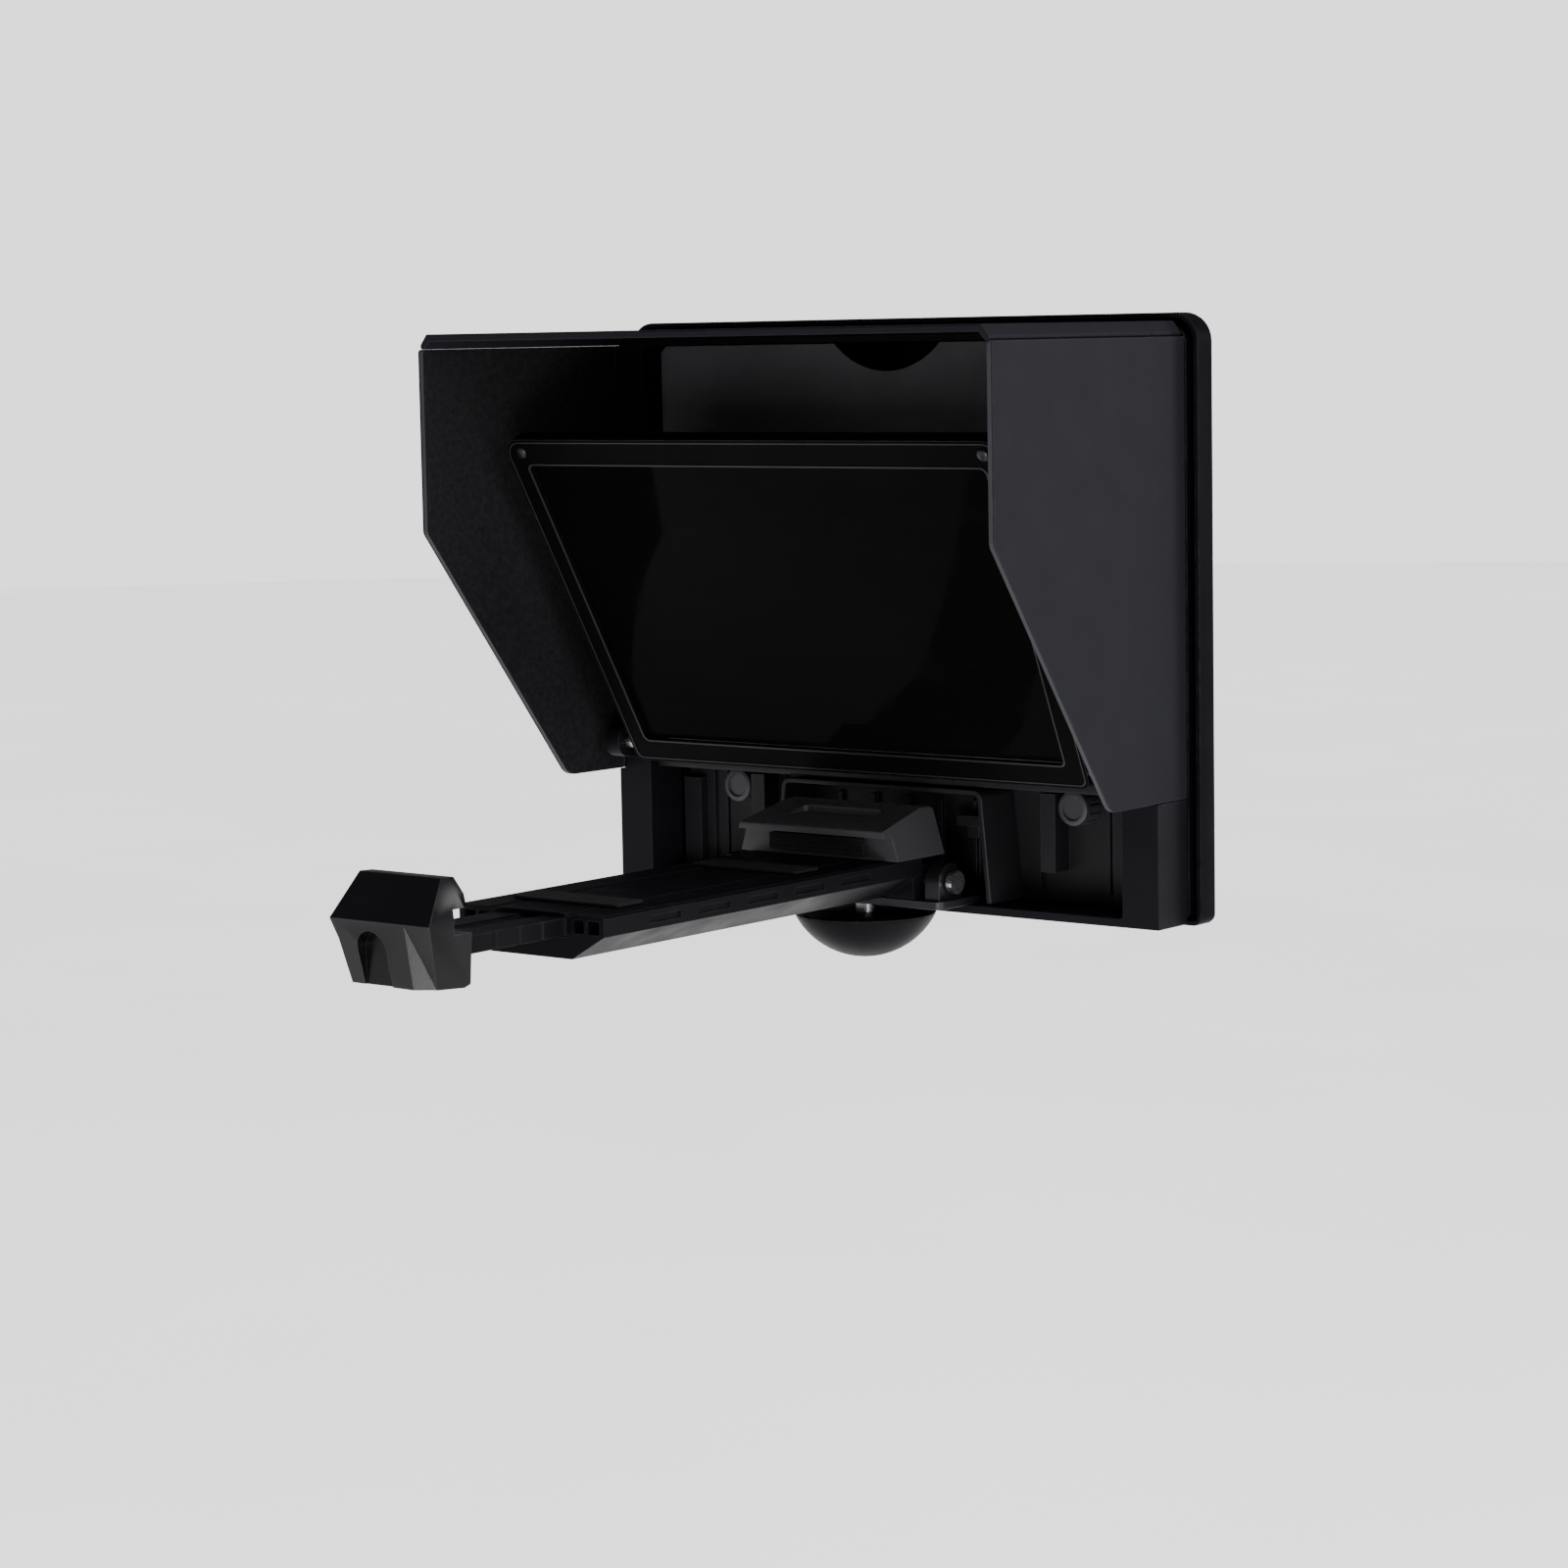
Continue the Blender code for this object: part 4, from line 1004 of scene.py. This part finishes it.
def hood_side(name, side):
    body = f"hood_{name}"
    panel = fillet([(-SEAM, PANEL_TOP), (HOOD_FRONT, PANEL_TOP), (HOOD_FRONT, KINK_Z), (FOOT_Y, PANEL_FOOT_Z),
                    (-SEAM, PANEL_FOOT_Z)], [0, 1.0, 3.0, 6.0, 0])
    strip = [(SEAM, PANEL_FOOT_Z), (FRONT_DEPTH, PANEL_FOOT_Z), (FRONT_DEPTH, PANEL_TOP), (SEAM, PANEL_TOP)]
    skin = fillet([(FRONT_DEPTH, PANEL_TOP), (HOOD_FRONT, PANEL_TOP), (HOOD_FRONT, KINK_Z),
                   (FOOT_Y, PANEL_FOOT_Z), (FRONT_DEPTH, PANEL_FOOT_Z)], [0, 1.0, 3.0, 6.0, 0])
    inner_x, split_x = WALL_X - HOOD_T, WALL_X - SKIN_T
    inward = Vector((-side, 0.0, 0.0))
    low, high = sorted((side * inner_x, side * (split_x - 0.02)))
    for piece_name, outline, rides in ((f"side_board_{name}", panel, body),
                                       (f"side_strip_{name}", strip, "housing")):
        board = flare(round_edges(sheet(piece_name, [outline], "X", low, high), 0.25))
        # the boards' edges take the paler edge colour, partly a painted highlight
        two_tone(board, FLOCK, BOARD_EDGE_AND_HIGHLIGHT, inward)
        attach(board, rides)
        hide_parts(f"hood_side_{name}" if rides == body else f"hood_strip_{name}")
    low, high = sorted((side * split_x, side * WALL_X))
    hood_skin(sheet(f"side_skin_{name}", [skin], "X", low, high))


def hood_top():
    """Top flap: board with slanted edges, its strip on the housing, and the skin across the fold."""
    flat_x, under = 99.9, FOLD_Z - SKIN_T
    edge_z = PANEL_TOP + 0.03
    corner = fillet([(flat_x, FOLD_Z), (100.3, FOLD_Z), (WALL_X, edge_z), (WALL_X - 2.3, edge_z)],
                    [0, 0.6, 0.9, 0], 4)
    half = ([(flat_x, under), (flat_x, FOLD_Z)] + corner[1:-1]
            + [(WALL_X - 2.3, edge_z), (99.3, FOLD_Z - 2.2)])
    for name, low, high, body, node in (("top_board", HOOD_FRONT, -SEAM, "hood_flap", "hood_top"),
                                        ("top_strip", SEAM, FRONT_DEPTH, "housing", "hood_strip_top")):
        board = flare(round_edges(sheet(name, [mirrored(half)], "Y", low, high), 0.2))
        two_tone(board, FLOCK, SKIN, Vector((0, 0, -1)))
        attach(board, body)
        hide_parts(node)
    skin = block("top_skin", (-flat_x + 0.05, HOOD_FRONT, under + 0.02), (flat_x - 0.05, FRONT_DEPTH, FOLD_Z))
    hood_skin(skin)


# ---------------- tray

TRAY_PIN = centre_of("tray_pin")
RAIL_LOW, RAIL_HIGH = span("outer_rail")
SLIDE_LOW, SLIDE_HIGH = span("inner_slide")


def tray_bracket():
    low, high = span("tray_bracket")
    y, z = TRAY_PIN.y, TRAY_PIN.z
    base = sheet("hinge_base", [rounded(low.x, low.y, high.x, high.y, 3.0, 1.0)], "Z", low.z, low.z + 2.4)
    ears, holes = [], []
    for side in (-1, 1):
        x_low, x_high = sorted((side * 28.6, side * 34.0))
        ear = arc(y, z, 5.8, 0, 180, 32) + [(y - 5.8, low.z + 1), (y + 5.8, low.z + 1)]
        ears.append(sheet("ear", [ear], "X", x_low, x_high))
        holes.append(rod("ear_hole", PIN_HOLE_R, (x_low - 1, y, z), (x_high + 1, y, z), 40))
        holes.append(rod("screw_sink", 2.2, (side * 20, 12, low.z + 1.4), (side * 20, 12, 9), 32))
    knob_y = centre_of("knob_stud").y
    holes.append(rod("stud_hole", 3.4, (0, knob_y, 0), (0, knob_y, 9), 40))
    fuse(base, *ears)
    cut(base, *holes)
    fit(base, ANODISED, "housing", "black_metal", "tray_bracket", edge=0.3)


def outer_rail():
    """Channel under the tablet: drafted sides, grooves along the top, sockets and ribs in its end."""
    top, low_z, front = RAIL_HIGH.z, 6.0, RAIL_LOW.y
    half = [(13.0, top), (13.6, top - 0.7), (15.0, top - 0.7), (15.6, top), (26.2, top), (27.0, top - 0.8),
            (27.0, 13.0), (15.0, low_z)]
    rail = sheet("tray_rail", [mirrored(half)], "Y", front, -13.0)
    y, z = TRAY_PIN.y, TRAY_PIN.z
    root = arc(y, z, 5.0, -90, 90, 32) + [(-16.0, z + 5.0), (-16.0, z - 5.0)]
    fuse(rail, sheet("rail_root", [root], "X", -26.0, 26.0))
    tunnel_x, groove_count, groove_pitch = SLIDE_HIGH.x + GAP, 5, 22.0
    cutters = [block("tunnel", (-tunnel_x, front - 5, SLIDE_LOW.z - GAP),
                     (tunnel_x, -20, SLIDE_HIGH.z + GAP)),
               block("relief", (-10.5, -148, 4.0), (10.5, -30, 10.4)),
               rod("pin_hole", PIN_HOLE_R, (-30, y, z), (30, y, z), 40)]
    for side in (-1, 1):
        for u_low, u_high in ((15.6, 19.6), (20.8, 25.2)):
            x_low, x_high = sorted((side * u_low, side * u_high))
            mouth = rounded(x_low, 13.4, x_high, 17.2, 0.6, 0.6, 3)
            cutters.append(sheet("socket", [mouth], "Y", front - 5, front + 14))
        x_low, x_high = sorted((side * 26.4, side * 29.0))
        for i in range(groove_count):
            y_mark = -46.0 - groove_pitch * i
            cutters.append(block("side_groove", (x_low, y_mark - 7.0, 14.6), (x_high, y_mark + 7.0, 16.6)))
    cut(rail, *cutters)
    fit(rail, TRAY, "tray", "tray_plastic", "outer_rail", edge=0.35)


def rubber_pad(name, node, body, margin):
    """Thin pad with cross grooves that stop short of its sides by a margin."""
    low, high = span(node)
    pad = sheet(name, [rounded(low.x, low.y, high.x, high.y, 1.5, 1.5, 5)], "Z", low.z, high.z)
    grooves = []
    count, half = 5, 0.35
    for i in range(1, count):
        y = low.y + (high.y - low.y) * i / count
        grooves.append(block("groove", (low.x + margin, y - half, high.z - half),
                             (high.x - margin, y + half, high.z + 1)))
    cut(pad, *grooves)
    fit(pad, RUBBER, body, "rubber", node, edge=0.15)


def jaw_pad(name, node, body):
    """Upright rubber face with a grip of small horizontal ribs."""
    low, high = span(node)
    pad = sheet(name, [rounded(low.x, low.z, high.x, high.z, 0.8, 0.8, 4)], "Y", low.y, high.y)
    ribs = [block("rib_gap", (low.x - 1, low.y - 1, z - 0.25), (high.x + 1, low.y + 0.3, z + 0.25))
            for z in (low.z + 1.3, low.z + 2.6, low.z + 3.9)]
    cut(pad, *ribs)
    fit(pad, RUBBER, body, "rubber", node, edge=0.1)


def rear_jaw():
    """Block at the tray's root: level top, long slope down to its lip, a window cut through the top, and its
    ribbed rubber pad.
    """
    low, high = span("rear_jaw")
    face, lip = -29.0, 26.4
    side_view = fillet([(high.y, low.z), (high.y, 33.5), (-11.5, 33.5), (low.y, 28.4), (low.y, lip),
                        (face, lip), (face, low.z)], [0, 1.5, 1.5, 0.7, 0, 0, 0], 5)
    jaw = sheet("tablet_stop", [side_view], "X", -33, 33)
    front_view = fillet([(30.5, 18), (25.4, 34.5), (-25.4, 34.5), (-30.5, 18)], [0, 3, 3, 0], 6)
    overlap(jaw, sheet("sides", [front_view], "Y", -40, 0))
    window = sheet("thumb_window", [rounded(-15.0, -27.0, 15.0, -15.5, 2.0, 2.0)], "Z", 30.6, 40.0)
    cut(jaw, window)
    fit(jaw, STOP, "tray", "tray_plastic", "rear_jaw", edge=0.45, segments=3)
    jaw_pad("tablet_stop_pad", "rear_jaw_pad", "tray")


def inner_slide():
    """Flat slide with detent notches along its edges and a sunk track."""
    low, high = SLIDE_LOW, SLIDE_HIGH
    slide = sheet("tray_slide", [rounded(low.x, low.y, high.x, high.y, 0.8, 0.8, 4)], "Z", low.z, high.z)
    notches = []
    count, first, pitch = 12, 14.0, 9.5
    for side in (-1, 1):
        for i in range(count):
            x, y = side * (high.x + 0.35), low.y + first + pitch * i
            notches.append(rod("detent", 1.0, (x, y, low.z - 1), (x, y, high.z + 1), 12))
    track = rounded(-4.0, low.y + 12.0, 4.0, high.y - 8.0, 3.9, 3.9)
    notches.append(sheet("track", [track], "Z", high.z - 0.8, high.z + 1))
    cut(slide, *notches)
    fit(slide, TRAY, "slide", "tray_plastic", "inner_slide", edge=0.2)


def front_jaw():
    """Faceted thumb block with a lip over the tablet's front edge."""
    ridge_y, ridge_z, foot_z, rear = -220.3, 22.8, 4.7, -203.6
    pairs = ((18.4, ridge_y, ridge_z), (15.0, -211.6, 34.8), (15.0, -206.8, 34.6), (17.3, -208.6, 31.0),
             (18.4, -205.0, 23.5), (16.8, -204.9, 30.0), (18.2, rear, 19.4))
    corners = [(side * x, y, z) for x, y, z in pairs for side in (-1, 1)]
    corners += [(-15.2, -213.3, foot_z), (14.0, -213.3, foot_z), (17.3, -206.0, foot_z),
                (17.3, rear, foot_z + 0.7), (-15.2, rear, foot_z + 0.7)]
    jaw = hull("thumb_block", corners)
    plate_x, inside = 9.0, 0.1
    plate = [(-17.4, ridge_y + inside, ridge_z - inside), (plate_x, ridge_y + inside, ridge_z - inside),
             (-15.0, -215.6, foot_z + inside), (plate_x, -217.0, foot_z + inside),
             (14.0, -213.4, foot_z + inside), (-15.0, -211.0, foot_z + inside),
             (13.0, -211.0, foot_z + inside), (-17.0, -214.0, ridge_z), (plate_x, -214.0, ridge_z)]
    fuse(jaw, hull("front_plate", plate))
    face, lip, thumb_x, thumb_r = -210.5, 26.4, -4.4, 5.4
    mouth = block("mouth", (-25, face, 19.5), (25, -195, lip))
    arch = (arc(thumb_x, 14.6, thumb_r, 0, 180, 24)
            + [(thumb_x - thumb_r, 0.0), (thumb_x + thumb_r, 0.0)])
    cut(jaw, mouth, sheet("arch", [arch], "Y", -225, -215.4))
    fit(jaw, JAW, "slide", "tray_plastic", "front_jaw", edge=0.5, segments=3)
    jaw_pad("thumb_block_pad", "front_jaw_pad", "slide")


def lock_knob():
    """Fluted dome that clamps the tray's hinge."""
    low, high = span("lock_knob")
    y, radius = centre_of("lock_knob").y, 24.5
    centre_z = low.z + radius
    rim = math.degrees(math.asin((centre_z - high.z) / radius))
    curve = arc(0, centre_z, radius, -rim, -90, 40)[:-1]
    rim_r = curve[0][0]
    profile = ([(0.0, -5.9), (3.3, -5.9), (3.3, high.z), (rim_r - 1.2, high.z), (rim_r - 0.3, high.z - 0.3)]
               + [(u, v) for u, v in curve[2:]] + [(0.0, low.z)])
    dome = turned("clamp_knob", profile, (0, y, 0), "Z", 120)
    flutes = []
    for i in range(24):
        a = 2 * math.pi * i / 24
        u, v = (rim_r + 0.6) * math.cos(a), (rim_r + 0.6) * math.sin(a)
        flutes.append(rod("flute", 1.15, (u, y + v, high.z + 1), (u, y + v, high.z - 5.0), 14))
    cut(dome, *flutes)
    fit(dome, TRAY, "knob", "tray_plastic", "lock_knob", edge=0.15)


# ---------------- carried-over nodes

def keep(material, *nodes):
    """A CAD node that stays as it is, with a finished material."""
    for node in nodes:
        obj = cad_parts[node]
        obj.data.materials.clear()
        obj.data.materials.append(material)


def build():
    for make in (add_camera, add_floor, add_world, add_light, rear_shell, front_frame, baffle, recess, cowl):
        make()
    for name in ("left", "right"):
        boss(f"{name}_boss", f"boss_{name}")
    for number in range(1, 5):
        housing_screw(f"housing_screw_{number}")
    for make in (tripod_thread, lens_collar, adapter_ring, button_spring, release_button, glass, hinge_lugs):
        make()
    hood_side("left", -1)
    hood_side("right", 1)
    for make in (hood_top, tray_bracket, outer_rail):
        make()
    for end in ("front", "rear"):
        rubber_pad(f"tray_pad_{end}", f"rail_pad_{end}", "tray", 2.0)
    for make in (rear_jaw, inner_slide, front_jaw, lock_knob):
        make()
    keep(STEEL, "tray_pin", "glass_pin_left", "glass_pin_right", "knob_stud")


build()
